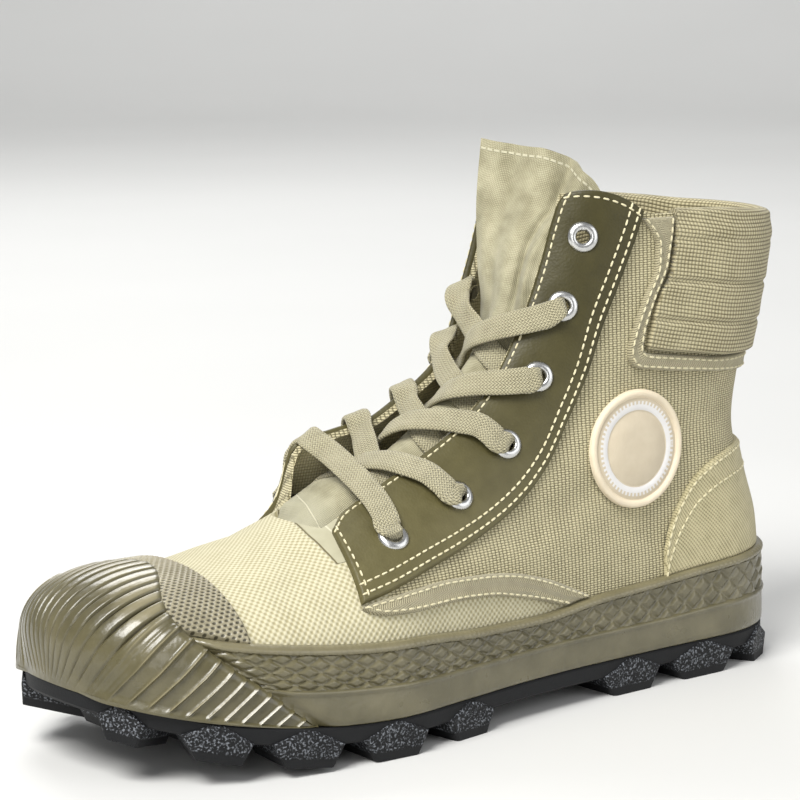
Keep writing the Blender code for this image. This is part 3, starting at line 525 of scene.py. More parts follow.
class Finish:
    """A material whose colour, roughness and relief come from formulas of its own coordinates."""

    def __init__(self, name, roughness, sockets=None):
        self.material = bpy.data.materials.new(name)
        self.material.use_nodes = True
        self.tree = self.material.node_tree
        self.shader = self.tree.nodes["Principled BSDF"]
        self.shader.inputs["Roughness"].default_value = roughness
        for word, value in (sockets or {}).items():
            self.shader.inputs[word].default_value = value
        self.relief = None

    def split(self, socket):
        """The three numbers of a vector."""
        node = self.tree.nodes.new("ShaderNodeSeparateXYZ")
        self.tree.links.new(socket, node.inputs[0])
        return [Wire(self.tree, out) for out in node.outputs]

    def marks(self, name="marks"):
        """The three numbers that a piece carries at each point."""
        node = self.tree.nodes.new("ShaderNodeAttribute")
        node.attribute_name = name
        return self.split(node.outputs["Vector"])

    def own_place(self):
        """Socket of a point's place in the piece's own coordinates, which are the boot's."""
        return self.tree.nodes.new("ShaderNodeTexCoord").outputs["Object"]

    def place(self):
        """x, y and z in the boot's frame, in metres."""
        return self.split(self.own_place())

    def noise(self, grain, detail):
        """Soft noise from 0 to 1 with lumps about grain mm across."""
        node = self.tree.nodes.new("ShaderNodeTexNoise")
        node.inputs["Scale"].default_value = 1 / (grain * MM)
        node.inputs["Detail"].default_value = detail
        self.tree.links.new(self.own_place(), node.inputs["Vector"])
        return Wire(self.tree, node.outputs[0])

    def cells(self, grain):
        """Distance to the nearest point of a scatter with points about grain mm apart, about 0 to 1."""
        node = self.tree.nodes.new("ShaderNodeTexVoronoi")
        node.inputs["Scale"].default_value = 1 / (grain * MM)
        self.tree.links.new(self.own_place(), node.inputs["Vector"])
        return Wire(self.tree, node.outputs["Distance"])

    def blend(self, share, first, second):
        """A colour from first to second by share; each is a paint or the result of another blend."""
        node = self.tree.nodes.new("ShaderNodeMix")
        node.data_type = "RGBA"
        self.tree.links.new(share.socket, node.inputs[0])
        for slot, colour in ((node.inputs[6], first), (node.inputs[7], second)):
            if isinstance(colour, tuple):
                slot.default_value = colour
            else:
                self.tree.links.new(colour, slot)
        return node.outputs[2]

    def colour(self, colour):
        """Gives the material a blended colour."""
        self.tree.links.new(colour, self.shader.inputs["Base Color"])

    def rough(self, wire):
        """Gives the material a roughness that changes from place to place."""
        self.tree.links.new(wire.socket, self.shader.inputs["Roughness"])

    def bump(self, height, deep):
        """Relief of a height from 0 to 1, deep mm, laid over any relief before it."""
        node = self.tree.nodes.new("ShaderNodeBump")
        node.inputs["Strength"].default_value = 1.0
        node.inputs["Distance"].default_value = deep * MM
        self.tree.links.new(height.socket, node.inputs["Height"])
        if self.relief:
            self.tree.links.new(self.relief, node.inputs["Normal"])
        self.relief = node.outputs["Normal"]
        self.tree.links.new(self.relief, self.shader.inputs["Normal"])


def weave(u, v, across, up):
    """A plain weave, its crossings across and up apart, as the product of two sines.

    It is 1 where one thread lies on top and -1 where the other does.
    """
    return (u * (math.pi / across)).sine() * (v * (math.pi / up)).sine()


def canvas_finish():
    """Coarse canvas by two weaves: khaki quarters, and a vamp of cream cloth.

    Behind the vamp's edge it is smooth and pale, as the tongue's root.
    """
    made = Finish("canvas", 0.92, {"Sheen Weight": 0.1})
    u, v, vamp = made.marks()
    vamp_u, vamp_v, behind = made.marks("vamp_marks")
    root = behind.above(0.0)
    crossing = weave(u, v, QUARTER_COLUMN, QUARTER_ROW)
    crown = crossing.size() ** 0.6
    dots = weave(vamp_u, vamp_v, VAMP_PITCH, VAMP_PITCH) * 0.5 + 0.5
    mottle = made.noise(9, 3) * 0.35 - 0.17
    khaki_lit = (crown + crossing.above(0.0) * 0.2 + mottle).ramp(0.1, 1.05)
    khaki = made.blend(khaki_lit, paint(94, 87, 57), paint(201, 192, 156))
    cream = made.blend((dots + mottle).ramp(0.0, 0.9), paint(154, 146, 112), paint(200, 194, 165))
    pale = made.blend(made.noise(5, 3), paint(158, 154, 128), paint(178, 174, 149))
    cloth = made.blend(root, made.blend(vamp, khaki, cream), pale)
    # Dark line along the vamp's edge: its dark stitches, with a painted shadow under the edge.
    seam = (behind - 0.1).size() * -1
    cloth = made.blend(seam.ramp(-0.4, -0.15), cloth, paint(104, 96, 66))
    sewn = ((behind - ROOT_SEAM).size() * -1).ramp(-0.35, -0.15)
    made.colour(made.blend(sewn, cloth, paint(196, 192, 168)))
    relief = crown + (dots - crown) * vamp
    made.bump(made.noise(14, 2), 0.9)
    made.bump(relief * (root * -1 + 1), 0.3)
    made.bump(seam.ramp(-0.6, -0.1) * -1 + 1, 0.25)
    return made.material


def tongue_finish():
    """Fine soft cloth by a weave and noise, smooth and pale at its root.

    A seam runs across the root, and stitches run below the free edge.
    """
    made = Finish("tongue", 0.92, {"Sheen Weight": 0.15})
    u, v, down = made.marks()
    x, _, behind = made.marks("seam_marks")
    crown = weave(u, v, 0.62, 0.62).size() ** 0.6
    lit = (crown * 0.6 + made.noise(8, 4) * 1.1 - 0.4).ramp(0.0, 1.0)
    cloth = made.blend(lit, paint(120, 115, 87), paint(192, 186, 156))
    root = x.ramp(-38.0, -48.0)
    pale = made.blend(made.noise(5, 3), paint(154, 150, 124), paint(176, 172, 147))
    cloth = made.blend(root, cloth, pale)
    dash = ((u / 2.6).part() - 0.5).size() * -1
    hem = ((down - 3.2).size() * -1).ramp(-0.5, -0.3)
    tack = ((behind - ROOT_SEAM).size() * -1).ramp(-0.35, -0.15)
    stitch = (hem * dash.above(-0.36) + tack).lower(1.0)
    made.colour(made.blend(stitch, cloth, paint(200, 195, 168)))
    made.bump(made.noise(11, 2), 1.2)
    made.bump(crown, 0.16)
    made.bump(stitch, 0.2)
    return made.material


def cloth_finish(name, pitch, low, high, deep=0.25):
    """Plain fine cloth: a weave, mottled by noise."""
    made = Finish(name, 0.92, {"Sheen Weight": 0.15})
    u, v, _ = made.marks()
    crossing = weave(u, v, pitch, pitch)
    crown = crossing.size() ** 0.6
    lit = (crown * 0.8 + crossing.above(0.0) * 0.15 + made.noise(7, 3) * 0.5 - 0.2).ramp(0.0, 1.0)
    made.colour(made.blend(lit, low, high))
    made.bump(made.noise(10, 2), 0.6)
    made.bump(crown, deep)
    return made.material


def twill_finish(name, pitch, low, high):
    """Cloth with fine slanting ribs, close together."""
    made = Finish(name, 0.9, {"Sheen Weight": 0.15})
    u, v, _ = made.marks()
    rib = ((u + v * 0.6) * (math.pi / pitch)).sine().size()
    knot = ((u - v * 1.4) * (math.pi / pitch)).sine().size()
    crown = (rib * 0.65 + knot * 0.35) ** 0.8
    lit = (crown + made.noise(6, 3) * 0.5 - 0.25).ramp(0.0, 1.0)
    made.colour(made.blend(lit, low, high))
    made.bump(crown, 0.25)
    return made.material


def tape_finish():
    """Herringbone tape: slanting ribs that turn back every few millimetres across it."""
    made = Finish("tape", 0.9, {"Sheen Weight": 0.2})
    u, v, _ = made.marks()
    fold = ((v / HERRINGBONE).part() - 0.5).size() * HERRINGBONE
    crown = ((u + fold) * (math.pi / 0.9)).sine().size() ** 0.7
    lit = (crown + made.noise(6, 3) * 0.6 - 0.3).ramp(0.0, 1.0)
    made.colour(made.blend(lit, paint(96, 89, 60), paint(172, 164, 134)))
    made.bump(crown, 0.25)
    return made.material


def webbing_finish():
    """Webbing of close level cords: rows of small crowns, in line from row to row."""
    made = Finish("webbing", 0.92, {"Sheen Weight": 0.15})
    u, v, _ = made.marks()
    row = (v * (math.pi / WEBBING_ROW)).sine().size()
    step = ((u / WEBBING_STEP) * math.pi).sine().size()
    crown = (row ** 0.6) * (step * 0.65 + 0.35)
    lit = (crown + made.noise(8, 3) * 0.4 - 0.2).ramp(0.05, 1.0)
    made.colour(made.blend(lit, paint(104, 95, 64), paint(188, 179, 144)))
    made.bump(made.noise(12, 2), 0.8)
    made.bump(crown, 0.4)
    return made.material


def leather_finish():
    """Smooth olive leather with a fine grain, darker higher up and paler low down, where a reflection is
    painted in.
    """
    made = Finish("leather", 0.45, {"Specular IOR Level": 0.35})
    _, _, z = made.place()
    grain = made.cells(0.9)
    # Painted reflection: the colour goes from the darker tone above 165 mm to the paler one below 70 mm,
    # with noise in the height.
    painted_sheen = (z + made.noise(26, 3) * 0.05).ramp(0.165, 0.07)
    dark = made.blend(made.noise(5, 4), paint(50, 46, 18), paint(66, 61, 29))
    pale = made.blend(made.noise(5, 4), paint(80, 74, 43), paint(102, 96, 63))
    made.colour(made.blend(painted_sheen, dark, pale))
    made.rough(made.noise(18, 2) * 0.2 + 0.36)
    made.bump(made.noise(16, 2), 0.4)
    made.bump(grain, 0.07)
    return made.material


def rubber_finish(name, low, high, base=0.3):
    """Moulded olive rubber: a dull bloom of noise over a gloss.

    The third mark is 1 deep in a groove and -1 on a crest: a painted shade darkens the groove and a painted
    highlight makes the crest paler.
    """
    made = Finish(name, base, {"Coat Weight": 0.4, "Coat Roughness": 0.19})
    _, _, pit = made.marks()
    bloom = made.blend((made.noise(12, 4) * 1.6 - 0.3).ramp(0.0, 1.0), low, high)
    # Painted highlight where the third mark is below 0, and painted shade where it is above 0.25.
    painted_sheen = made.blend(pit.ramp(-0.05, -1.0), bloom, paint(144, 136, 107))
    made.colour(made.blend(pit.ramp(0.25, 0.8), painted_sheen, paint(58, 53, 33)))
    made.rough(made.noise(7, 3) * 0.35 + (base - 0.14))
    made.bump(made.noise(6, 2), 0.45)
    made.bump(made.noise(2.2, 2), 0.16)
    return made.material


def outsole_finish():
    """Black rubber, with a coarse glinting stipple of noise on the upper part of each lug.

    The third mark is the height on a lug.
    """
    made = Finish("outsole", 0.6, {"Specular IOR Level": 0.3})
    _, _, high = made.marks()
    speck = made.noise(0.75, 3)
    coarse = high.ramp(2.6, 3.4)
    glint = speck.ramp(0.5, 0.7) * coarse
    plain = made.blend(made.noise(6, 3), paint(10, 11, 13), paint(18, 19, 21))
    made.colour(made.blend(glint, plain, paint(122, 126, 132)))
    made.rough(glint * -0.3 + 0.62)
    made.bump(speck * (coarse * 0.85 + 0.15), 0.55)
    return made.material


def lace_finish():
    """Flat braid: strands that slant one way in one column and the other way in the next."""
    made = Finish("lace", 0.9, {"Sheen Weight": 0.2})
    u, v, _ = made.marks()
    fold = ((v / BRAID_COLUMN).part() - 0.5).size() * (2 * BRAID_COLUMN)
    strand = ((u + fold * 0.8) * (math.pi / BRAID_STEP)).sine().size() ** 0.6
    column = (v * (math.pi / BRAID_COLUMN)).sine().size() ** 0.35
    crown = strand * (column * 0.5 + 0.5)
    lit = (crown + made.noise(5, 3) * 0.5 - 0.25).ramp(0.0, 1.0)
    made.colour(made.blend(lit, paint(97, 90, 61), paint(179, 172, 141)))
    made.bump(crown, 0.4)
    return made.material


def metal_finish():
    """Nickel, a little dulled by noise in its tone and its gloss."""
    made = Finish("nickel", 0.25, {"Metallic": 1.0})
    made.colour(made.blend(made.noise(2.5, 3), paint(176, 176, 174), paint(226, 226, 224)))
    made.rough(made.noise(1.5, 3) * 0.25 + 0.14)
    return made.material


def thread_finish(name, low, high):
    """Thread: two tones blended by noise, with a fine noise as its relief."""
    made = Finish(name, 0.8, {"Sheen Weight": 0.2})
    made.colour(made.blend(made.noise(3, 3), low, high))
    made.bump(made.noise(0.4, 2), 0.1)
    return made.material


def badge_finish():
    """Soft beige rubber; its marks are the angle and the radius, for the pale ring and its ticks."""
    made = Finish("badge", 0.6)
    angle, radius, _ = made.marks()
    tan = made.blend(made.noise(4, 3), paint(192, 179, 154), paint(206, 194, 171))
    rim = made.blend(made.noise(4, 3), paint(214, 200, 174), paint(228, 215, 190))
    pale = made.blend(made.noise(4, 3), paint(212, 210, 207), paint(224, 222, 220))
    ring = radius.above(BADGE_RING[0]) * (radius * -1).above(-BADGE_RING[1])
    tick = ((angle * (BADGE_TICKS / (2 * math.pi))).part() - 0.5).size() * -1
    band = radius.above(BADGE_RING[1]) * (radius * -1).above(-BADGE_TICK)
    face = made.blend(radius.above(BADGE_RIM), tan, rim)
    made.colour(made.blend((ring + band * tick.above(-0.25)).lower(1.0), face, pale))
    made.bump(made.noise(1.0, 3), 0.08)
    return made.material


# Weaves and braids, from thread to thread
QUARTER_COLUMN = 1.67
QUARTER_ROW = 0.82
VAMP_PITCH = 1.12
HERRINGBONE = 3.4
WEBBING_ROW = 1.35
WEBBING_STEP = 1.5
BRAID_COLUMN = 1.25
BRAID_STEP = 1.15


def soft_step(at, start, end):
    """0 before start and 1 after end, with a soft step between them."""
    share = np.clip((at - start) / (end - start), 0, 1)
    return share * share * (3 - 2 * share)


# The inner side of the throat stands up off the last: x, how far up at its edge, how far out
STAND_ROWS = [
    (-45.5, 0, 0), (-44, 3, 0.3), (-43, 7.5, 0.8), (-41.8, 12.4, 1.6), (-40, 15.2, 2.4), (-36.5, 16, 2.4),
    (-30, 13.8, 2), (-19.5, 10.7, 1.6), (-9, 6.7, 1), (1.8, 5.5, 0.8), (10, 3.7, 0.6), (18.6, 0.6, 1),
    (25, -2, 2.5), (29.6, -3, 4), (35, -1.5, 5.5), (48, 0, 6), (60, 0, 3), (75, 0, 0),
]
STAND_NEAR = 15.0
STAND_FAR = 31.0
STAND_START = 5.0
stand_up = smooth([(x, up) for x, up, _ in STAND_ROWS])
stand_out = smooth([(x, out) for x, _, out in STAND_ROWS])


def stand(points):
    """Points beside the throat moved with its inner side, which stands up in front and opens out on top."""
    moved = np.array(points, float)
    x = moved[..., 0]
    off = moved[..., 1] - centre(x)
    share = (1 - soft_step(off, STAND_NEAR, STAND_FAR)) * (off > STAND_START)
    moved[..., 1] += share * stand_out(x)
    moved[..., 2] += share * stand_up(x)
    return moved


# Height of the collar's edge over its length: x, z
collar_top = smooth([
    (44, 170.5), (50, 172.3), (58, 172.3), (63, 170.8), (68, 168.0), (72, 165.8), (78, 164.8), (93, 164.2),
    (106, 163.6), (126, 161.7), (140, 160.2), (150, 160),
])
COLLAR_ROWS = 12


# Rows of the upper over the toe, above the one at the sole: x at the front, z at the back
TOE_ROWS = [
    (-141.5, 22), (-138, 30), (-131, 37), (-118, 44), (-100, 50), (-82, 56), (-66, 62), (-59, 65),
]
# Rows beside the throat: x at its edge, z at the back
THROAT_ROWS = [
    (THROAT_X, 68), (-38, 75), (-22, 83), (-7, 92), (4, 100), (14, 109), (23, 120), (31, 131), (38, 142),
    (44, 152), (COLLAR_FRONT_X, COLLAR_BACK_Z),
]
UPPER_COLUMNS = 120
FRONT_COLUMNS = 40
TOE_ROW_COUNT = 44
THROAT_ROW_COUNT = 60
THROAT_BOW = 3.0

# Soft creases of the canvas: start x, y, z, end x, y, z, half width, depth; a ridge has a depth below 0
CREASES = [
    (-78, -36, 52, -66, -16, 66, 5, 0.7), (-88, -30, 57, -72, -8, 66, 6, -0.6),
    (-66, -40, 48, -60, -22, 64, 4, 0.6), (20, -38, 62, 52, -34, 72, 6, 0.8),
    (34, -36, 80, 58, -32, 100, 6, -0.7), (92, -32, 84, 112, -30, 96, 7, 0.9),
    (60, -34, 60, 84, -33, 50, 7, 0.7), (-8, -42, 58, 24, -38, 54, 5, -0.5),
    (70, -33, 112, 110, -33, 104, 5, 0.8), (-70, 36, 52, -62, 18, 66, 5, 0.7),
    (24, 32, 60, 60, 32, 76, 6, 0.8), (80, 32, 90, 112, 31, 98, 7, 0.8),
]


def crease_depth(points):
    """How far the canvas sinks at points: a soft trough, or ridge, along each crease's line."""
    depth = np.zeros(points.shape[:-1])
    for row in np.array(CREASES, float):
        start, end, half, deep = row[:3], row[3:6], row[6], row[7]
        way = end - start
        share = np.clip(((points - start) @ way) / (way @ way), 0, 1)
        far = np.linalg.norm(points - start - share[..., None] * way, axis=-1)
        depth += deep * np.exp(-((far / half) ** 2))
    return depth


def upper_grids():
    """The upper as two grids on the last: round the heel up to the throat's edges, and the toe and vamp."""
    fractions = np.linspace(0, 1, UPPER_COLUMNS + 1)
    front_fractions = np.linspace(0, 1, FRONT_COLUMNS + 1)
    closed = [(TOE_X, SOLE_TOP + rise(TOE_X), SOLE_TOP)]
    closed += [(x, float(toe_top(x)), rear) for x, rear in spread(TOE_ROWS, TOE_ROW_COUNT)]
    round_heel, front = [], []
    for front_x, front_z, rear_z in closed:
        height = row_height(front_x, front_z, rear_z)
        fore, aft = [], []
        for side in (LATERAL, MEDIAL):
            path = course(height, side, front_x)
            split = int(np.argmax(np.abs(path[:, 1] - centre(path[:, 0])) >= THROAT_HALF))
            fore.append(path[: split + 1])
            aft.append(resample(path[split:], fractions))
        round_heel.append(np.concatenate((aft[0], aft[1][-2::-1])))
        front.append(resample(np.concatenate((fore[0][::-1], fore[1][1:])), front_fractions))
    for edge_x, rear_z in spread(THROAT_ROWS, THROAT_ROW_COUNT):
        aft = []
        for side in (LATERAL, MEDIAL):
            edge = top_points(edge_x, side * THROAT_HALF)
            path = course(row_height(edge_x, edge[2], rear_z), side, edge_x)
            aft.append(resample(path, fractions))
        round_heel.append(np.concatenate((aft[0], aft[1][-2::-1])))
    top = np.stack(round_heel[-COLLAR_ROWS:])
    drop = top[-1, :, 2] - collar_top(top[-1, :, 0])
    top[..., 2] -= np.linspace(0, 1, COLLAR_ROWS)[:, None] * drop
    round_heel[-COLLAR_ROWS:] = list(onto_last(top))
    edges = round_heel[len(closed)][[0, -1]]
    across = edges[0] + (edges[1] - edges[0]) * front_fractions[:, None]
    across[:, 0] -= THROAT_BOW * 4 * front_fractions * (1 - front_fractions)
    lip = onto_last(across)
    lip[[0, -1]] = edges
    front.append(lip)
    return np.stack(round_heel), np.stack(front)


# Seam between the vamp's cream cloth and the quarter's khaki, under the side tape: x, z
vamp_line = smooth([(-54, 48.7), (-35, 48.5), (-20, 48.6), (-5, 47.7), (10, 45.3), (22.5, 41.9), (39, 35.8)])


# Rear edge of the vamp's cloth across the throat: distance to the middle line, x
vamp_edge = smooth([
    (-60, -40), (-32, -40), (-30, -56.8), (-16.5, -57), (-6, -55.5), (1, -53.5), (7, -51.8), (14, -49),
    (20, -47), (40, -47),
])
VAMP_END_X = -46.0
VAMP_REAR_X = 39.0
ROOT_SEAM = 6.5


def quarter_marks(points):
    """Weave of the quarters: way round the heel, height, and 1 where the vamp's cloth takes over."""
    x, y, z = np.moveaxis(points, -1, 0)
    turn = np.arctan2(y, np.clip(x - SHAFT_AXIS_X, 0, None) + 0.001)
    round_way = SHAFT_HALF * turn + np.sign(y) * np.clip(SHAFT_AXIS_X - x, 0, None)
    vamp = (x < VAMP_END_X) | ((x < VAMP_REAR_X) & (z < vamp_line(x)))
    return np.stack((round_way, z, vamp.astype(float)), -1)


def vamp_marks(points):
    """Weave of the vamp: x, the way across it, and how far behind its edge.

    The way across is the turn about a line inside the toe, and the quarters count as far before the edge.
    """
    x, y, z = np.moveaxis(points, -1, 0)
    inside_z, reach, before = 30.0, 40.0, -9.0
    off = y - centre(x)
    across = reach * np.arctan2(off, z - inside_z)
    return np.stack((x, across, np.where(x < VAMP_END_X, x - vamp_edge(off), before)), -1)


def seam_marks(points):
    """Place of the seam on the tongue's root: x, y, and how far behind the vamp's edge."""
    x, y, _ = np.moveaxis(points, -1, 0)
    return np.stack((x, y, x - vamp_edge(y - centre(x))), -1)


def set_marks(made, name, points_to_marks):
    """Marks of a piece worked out from where its points are."""
    mesh = made.data
    spots = np.empty(3 * len(mesh.vertices), np.float32)
    mesh.vertices.foreach_get("co", spots)
    spots = spots.reshape(-1, 3).astype(float) / MM + (MIDDLE_X, MIDDLE_Y, 0)
    layer = mesh.attributes.get(name) or mesh.attributes.new(name, "FLOAT_VECTOR", "POINT")
    layer.data.foreach_set("vector", points_to_marks(spots).astype(np.float32).ravel())


def make_upper(finishes, pins):
    """One wall of canvas on the last, lined inside, with its creases pressed in."""
    patches, closed = [], TOE_ROW_COUNT + 1
    walls = []
    for grid in upper_grids():
        sunk = crease_depth(grid) + cap_sink(grid[..., 0])
        walls.append((stand(pushed(grid, -sunk)), stand(pushed(grid, -sunk - WALL))))
    (heel_out, heel_in), (front_out, front_in) = walls
    rims = [
        (heel_out[0], heel_in[0]), (front_out[0], front_in[0]), (heel_out[-1], heel_in[-1]),
        (front_out[-1], front_in[-1]), (heel_out[closed:, 0], heel_in[closed:, 0]),
        (heel_out[closed:, -1], heel_in[closed:, -1]),
    ]
    for grid, kind in ((heel_out, 0), (front_out, 0), (heel_in, 1), (front_in, 1)):
        patches.append((grid, plain_marks(grid), kind))
    for over, under in rims:
        rim = np.stack((over, under))
        patches.append((rim, plain_marks(rim), 0))
    made = make_piece("canvas_upper", patches, finishes, ["upper"])
    set_marks(made, "marks", quarter_marks)
    set_marks(made, "vamp_marks", vamp_marks)
    bore(made, pins)


def bore(made, pins):
    """Takes the eyelets' pins out of a piece, and keeps the result as its mesh."""
    holes = made.modifiers.new("holes", "BOOLEAN")
    holes.operation = "DIFFERENCE"
    holes.object = pins
    graph = bpy.context.evaluated_depsgraph_get()
    mesh = bpy.data.meshes.new_from_object(made.evaluated_get(graph))
    made.modifiers.clear()
    made.data = mesh


# Tongue: x on the top line, half width on the outer and the inner side
TONGUE_ROWS = [
    (-63, 20, 20), (-40, 23, 23), (-10, 25, 25), (14, 26, 26), (30, 26, 27), (41, 25, 28), (49.8, 22, 28),
]
# How far the tongue lies off the last across the throat: distance to the middle line, distance out
tongue_sag = smooth([(-26, -4.6), (-14, -4.2), (-6, -2.0), (0, -2.4), (6, -5.5), (12, -7.5), (28, -7.5)])
# The same where its root shows behind the vamp's edge
tongue_rise = smooth([
    (-26, -4.6), (-14, -4.2), (-6, -0.6), (0, 0.3), (8, 1.0), (12, 1.2), (14, 0.4), (17, -4), (28, -6),
])
# Its root lies closer under the vamp, and behind the vamp's edge it takes the second form: x, share
tongue_under = smooth([(-60, 0.5), (-48, 0.5), (-30, 1.0), (40, 1.0)])
tongue_root = smooth([(-60, 0), (-53, 0), (-47, 1), (-36, 1), (-22, 0), (40, 0)])
# Its free end hangs clear of the last: z, x and y of its outer edge, x and y of its inner edge
TONGUE_FREE = [
    (100, 20, -18, 19, 14), (118, 27, -17, 26.5, 12), (134, 34, -16, 32.5, 11.5),
    (151, 42, -16, 36.3, 15.5), (160, 50, -16.5, 37.2, 17), (168, 61, -18, 38, 18),
    (180, 69, -18, 39.4, 18.5), (190, 72, -17, 40.5, 18.5),
]
TONGUE_FREE_FROM = 112.0
TONGUE_FREE_TO = 146.0
TONGUE_BOW = 3.0
TONGUE_ROW_COUNT = 150
TONGUE_COLUMNS = 80
# Further drop of its outer corner
TONGUE_CORNER = 8.0
TONGUE_CORNER_POWER = 4
TONGUE_FACING = (-0.85, -0.5, 0.0)
# Soft folds up the free end: share across, width of the fold as a share, depth
TONGUE_FOLDS = [
    (-0.62, 0.12, -1.6), (-0.36, 0.1, 2.2), (0.1, 0.22, -0.9), (0.45, 0.16, 0.8), (0.8, 0.14, -0.7),
]


def tongue_grid(rows, columns):
    """The tongue sunk in the throat, and its free end, which turns to face outwards.

    Rows across the last drop to the outer side; higher up they go over to straight rows, bowed and folded.
    """
    shares = np.linspace(-1, 1, columns)
    grid = []
    for i, (x, outer, inner) in enumerate(spread(TONGUE_ROWS, rows)):
        off = np.where(shares < 0, outer, inner) * shares
        out = (1 - shares) / 2
        drop = TONGUE_TILT * out + TONGUE_CORNER * out**TONGUE_CORNER_POWER
        drop = drop * (i / (rows - 1)) ** TONGUE_TILT_POWER
        grid.append(np.column_stack((x + 0 * off, centre(x) + off, ridge(x) - drop)))
    grid = onto_last(np.stack(grid))
    off = grid[..., 1] - centre(grid[..., 0])
    sag = tongue_sag(off) * tongue_under(grid[..., 0])
    sunk = pushed(grid, sag + (tongue_rise(off) - sag) * tongue_root(grid[..., 0]))
    z = sunk[..., 2]
    outer_x, outer_y, inner_x, inner_y = (
        smooth([(row[0], row[k]) for row in TONGUE_FREE])(z) for k in range(1, 5)
    )
    share = (shares[None, :] + 1) / 2
    free = np.stack((outer_x + (inner_x - outer_x) * share, outer_y + (inner_y - outer_y) * share, z), -1)
    bow = TONGUE_BOW * 4 * share * (1 - share) + 0 * z
    for where, wide, deep in TONGUE_FOLDS:
        bow = bow - deep * np.exp(-(((shares[None, :] - where) / wide) ** 2))
    free = free + bow[..., None] * np.array(TONGUE_FACING)
    weight = soft_step(z, TONGUE_FREE_FROM, TONGUE_FREE_TO)[..., None]
    return sunk + (free - sunk) * weight


def grid_facing(grid):
    """Direction at right angles to a grid at each of its points."""
    facing = np.cross(np.gradient(grid, axis=0), np.gradient(grid, axis=1))
    return facing / np.linalg.norm(facing, axis=-1, keepdims=True)


def make_tongue(finish):
    """Cloth between the sides of the throat; its marks hold the distance to its free edge."""
    grid = tongue_grid(TONGUE_ROW_COUNT, TONGUE_COLUMNS)
    facing = grid_facing(grid)
    facing *= np.sign((facing * outward(grid)).sum(-1, keepdims=True).mean())
    marks = cloth_marks(grid)
    marks[..., 2] = runs(grid[::-1], 0)[::-1]
    patches = shell(grid, grid - TONGUE_THICK * facing, marks)
    made = make_piece("cloth_tongue", patches, [finish], ["tongue"])
    set_marks(made, "seam_marks", seam_marks)


# Eyestay: x and distance to the middle line of its inner edge, x and z of its outer edge
EYESTAY_ROWS = [
    (-51, 19, -56.5, 49), (-42, 15, -45.5, 51.5), (-28, 15, -30, 55.6), (-12, 15, -13, 60), (2, 15, 3, 65.2),
    (12, 15, 17.5, 72.3), (20, 15, 30, 82.6), (27, 15, 40, 97), (32.5, 15, 47, 110), (37.5, 15, 54.5, 127.7),
    (42, 15, 62.5, 143.6), (46, 15.5, 69.3, 158), (48.5, 17, 72.5, 166),
]
# The inner side's eyestay starts further back: its first rows
MEDIAL_START = [(-42.5, 20, -50, 50), (-39.5, 16, -43, 52.2)]
EYESTAY_ARCH = 3.5
EYESTAY_ARCH_POWER = 8
EYESTAY_ROW_COUNT = 150
EYESTAY_COLUMNS = 40
# How far in its edge is rolled, how far the edge drops below BAND_GAP, and the height of its back
EYESTAY_ROLL = 1.3
EYESTAY_EDGE_DROP = 0.3
EYESTAY_BACK = 0.1
# How deep and how far round an eyelet the leather is dished
EYELET_DISH = 0.5
EYELET_DISH_WIDE = 6.5


def eyestay_grid(side, count, columns):
    """Points of the last between the eyestay's inner and outer edge; its top end is arched."""
    side_roll, end_roll = 0.05, 0.012
    shares = edge_shares(columns, side_roll)
    ups = edge_shares(count, end_roll)
    rows = MEDIAL_START + EYESTAY_ROWS[len(MEDIAL_START) :] if side == MEDIAL else EYESTAY_ROWS
    table = np.array(rows, float)
    at = ups * (len(table) - 1)
    inner_x, off, outer_x, outer_z = (smooth(list(enumerate(column)))(at) for column in table.T)
    inner = top_points(inner_x, side * off)
    outer = side_points(outer_x, outer_z, side)
    grid = inner[:, None] + (outer - inner)[:, None] * shares[None, :, None]
    arch = EYESTAY_ARCH * 4 * shares * (1 - shares)
    grid[..., 2] += arch[None, :] * ups[:, None] ** EYESTAY_ARCH_POWER
    return onto_last(grid)


# Eyelets from the toe up: x, z
EYELET_ROWS = [(-36, 66), (-7.3, 76), (16, 90.5), (31, 112), (42, 135), (50.6, 158)]


def eyelet_seat(side, row):
    """Middle of an eyelet's flange, and the direction it faces, on the side of the throat as it stands."""
    spot = side_points(*row, side)
    away = outward(spot)
    first, second = flat_axes(away)
    middle = stand(spot)
    facing = np.cross(stand(onto_last(spot + first)) - middle, stand(onto_last(spot + second)) - middle)
    facing *= np.sign(facing @ away) / np.linalg.norm(facing)
    return middle + facing * (BAND_GAP + LEATHER + SEAT), facing


def make_eyestay(word, side, finish, pins):
    """Leather along one side of the throat, dished round each eyelet."""
    grid = eyestay_grid(side, EYESTAY_ROW_COUNT, EYESTAY_COLUMNS)
    face = (LEATHER + EYESTAY_EDGE_DROP) * rolled(from_edge(grid), EYESTAY_ROLL)
    lift = BAND_GAP - EYESTAY_EDGE_DROP + face
    for row in EYELET_ROWS:
        far = np.linalg.norm(grid - side_points(*row, side), axis=-1)
        lift = lift - EYELET_DISH * np.exp(-((far / EYELET_DISH_WIDE) ** 4))
    outer, inner = pushed(grid, lift), pushed(grid, EYESTAY_BACK)
    patches = shell(stand(outer), stand(inner), cloth_marks(grid))
    made = make_piece(f"leather_eyestay_{word}", patches, [finish], [f"eyestay_{word}"])
    bore(made, pins)
    return grid


def flat_axes(facing):
    """Two directions at right angles to facing and to each other."""
    first = np.cross(facing, (0.0, 0.0, 1.0))
    first /= np.linalg.norm(first)
    return first, np.cross(facing, first)


def turned_ring(spot, facing, section, sides):
    """A section of radius and height, carried round the axis through spot along facing."""
    angle = np.linspace(0, 2 * math.pi, sides + 1)
    first, second = flat_axes(facing)
    ring = np.cos(angle)[:, None] * first + np.sin(angle)[:, None] * second
    return np.stack([spot + ring * radius + facing * high for radius, high in section])


PIN_REACH = 7.0
PIN_SIDES = 16


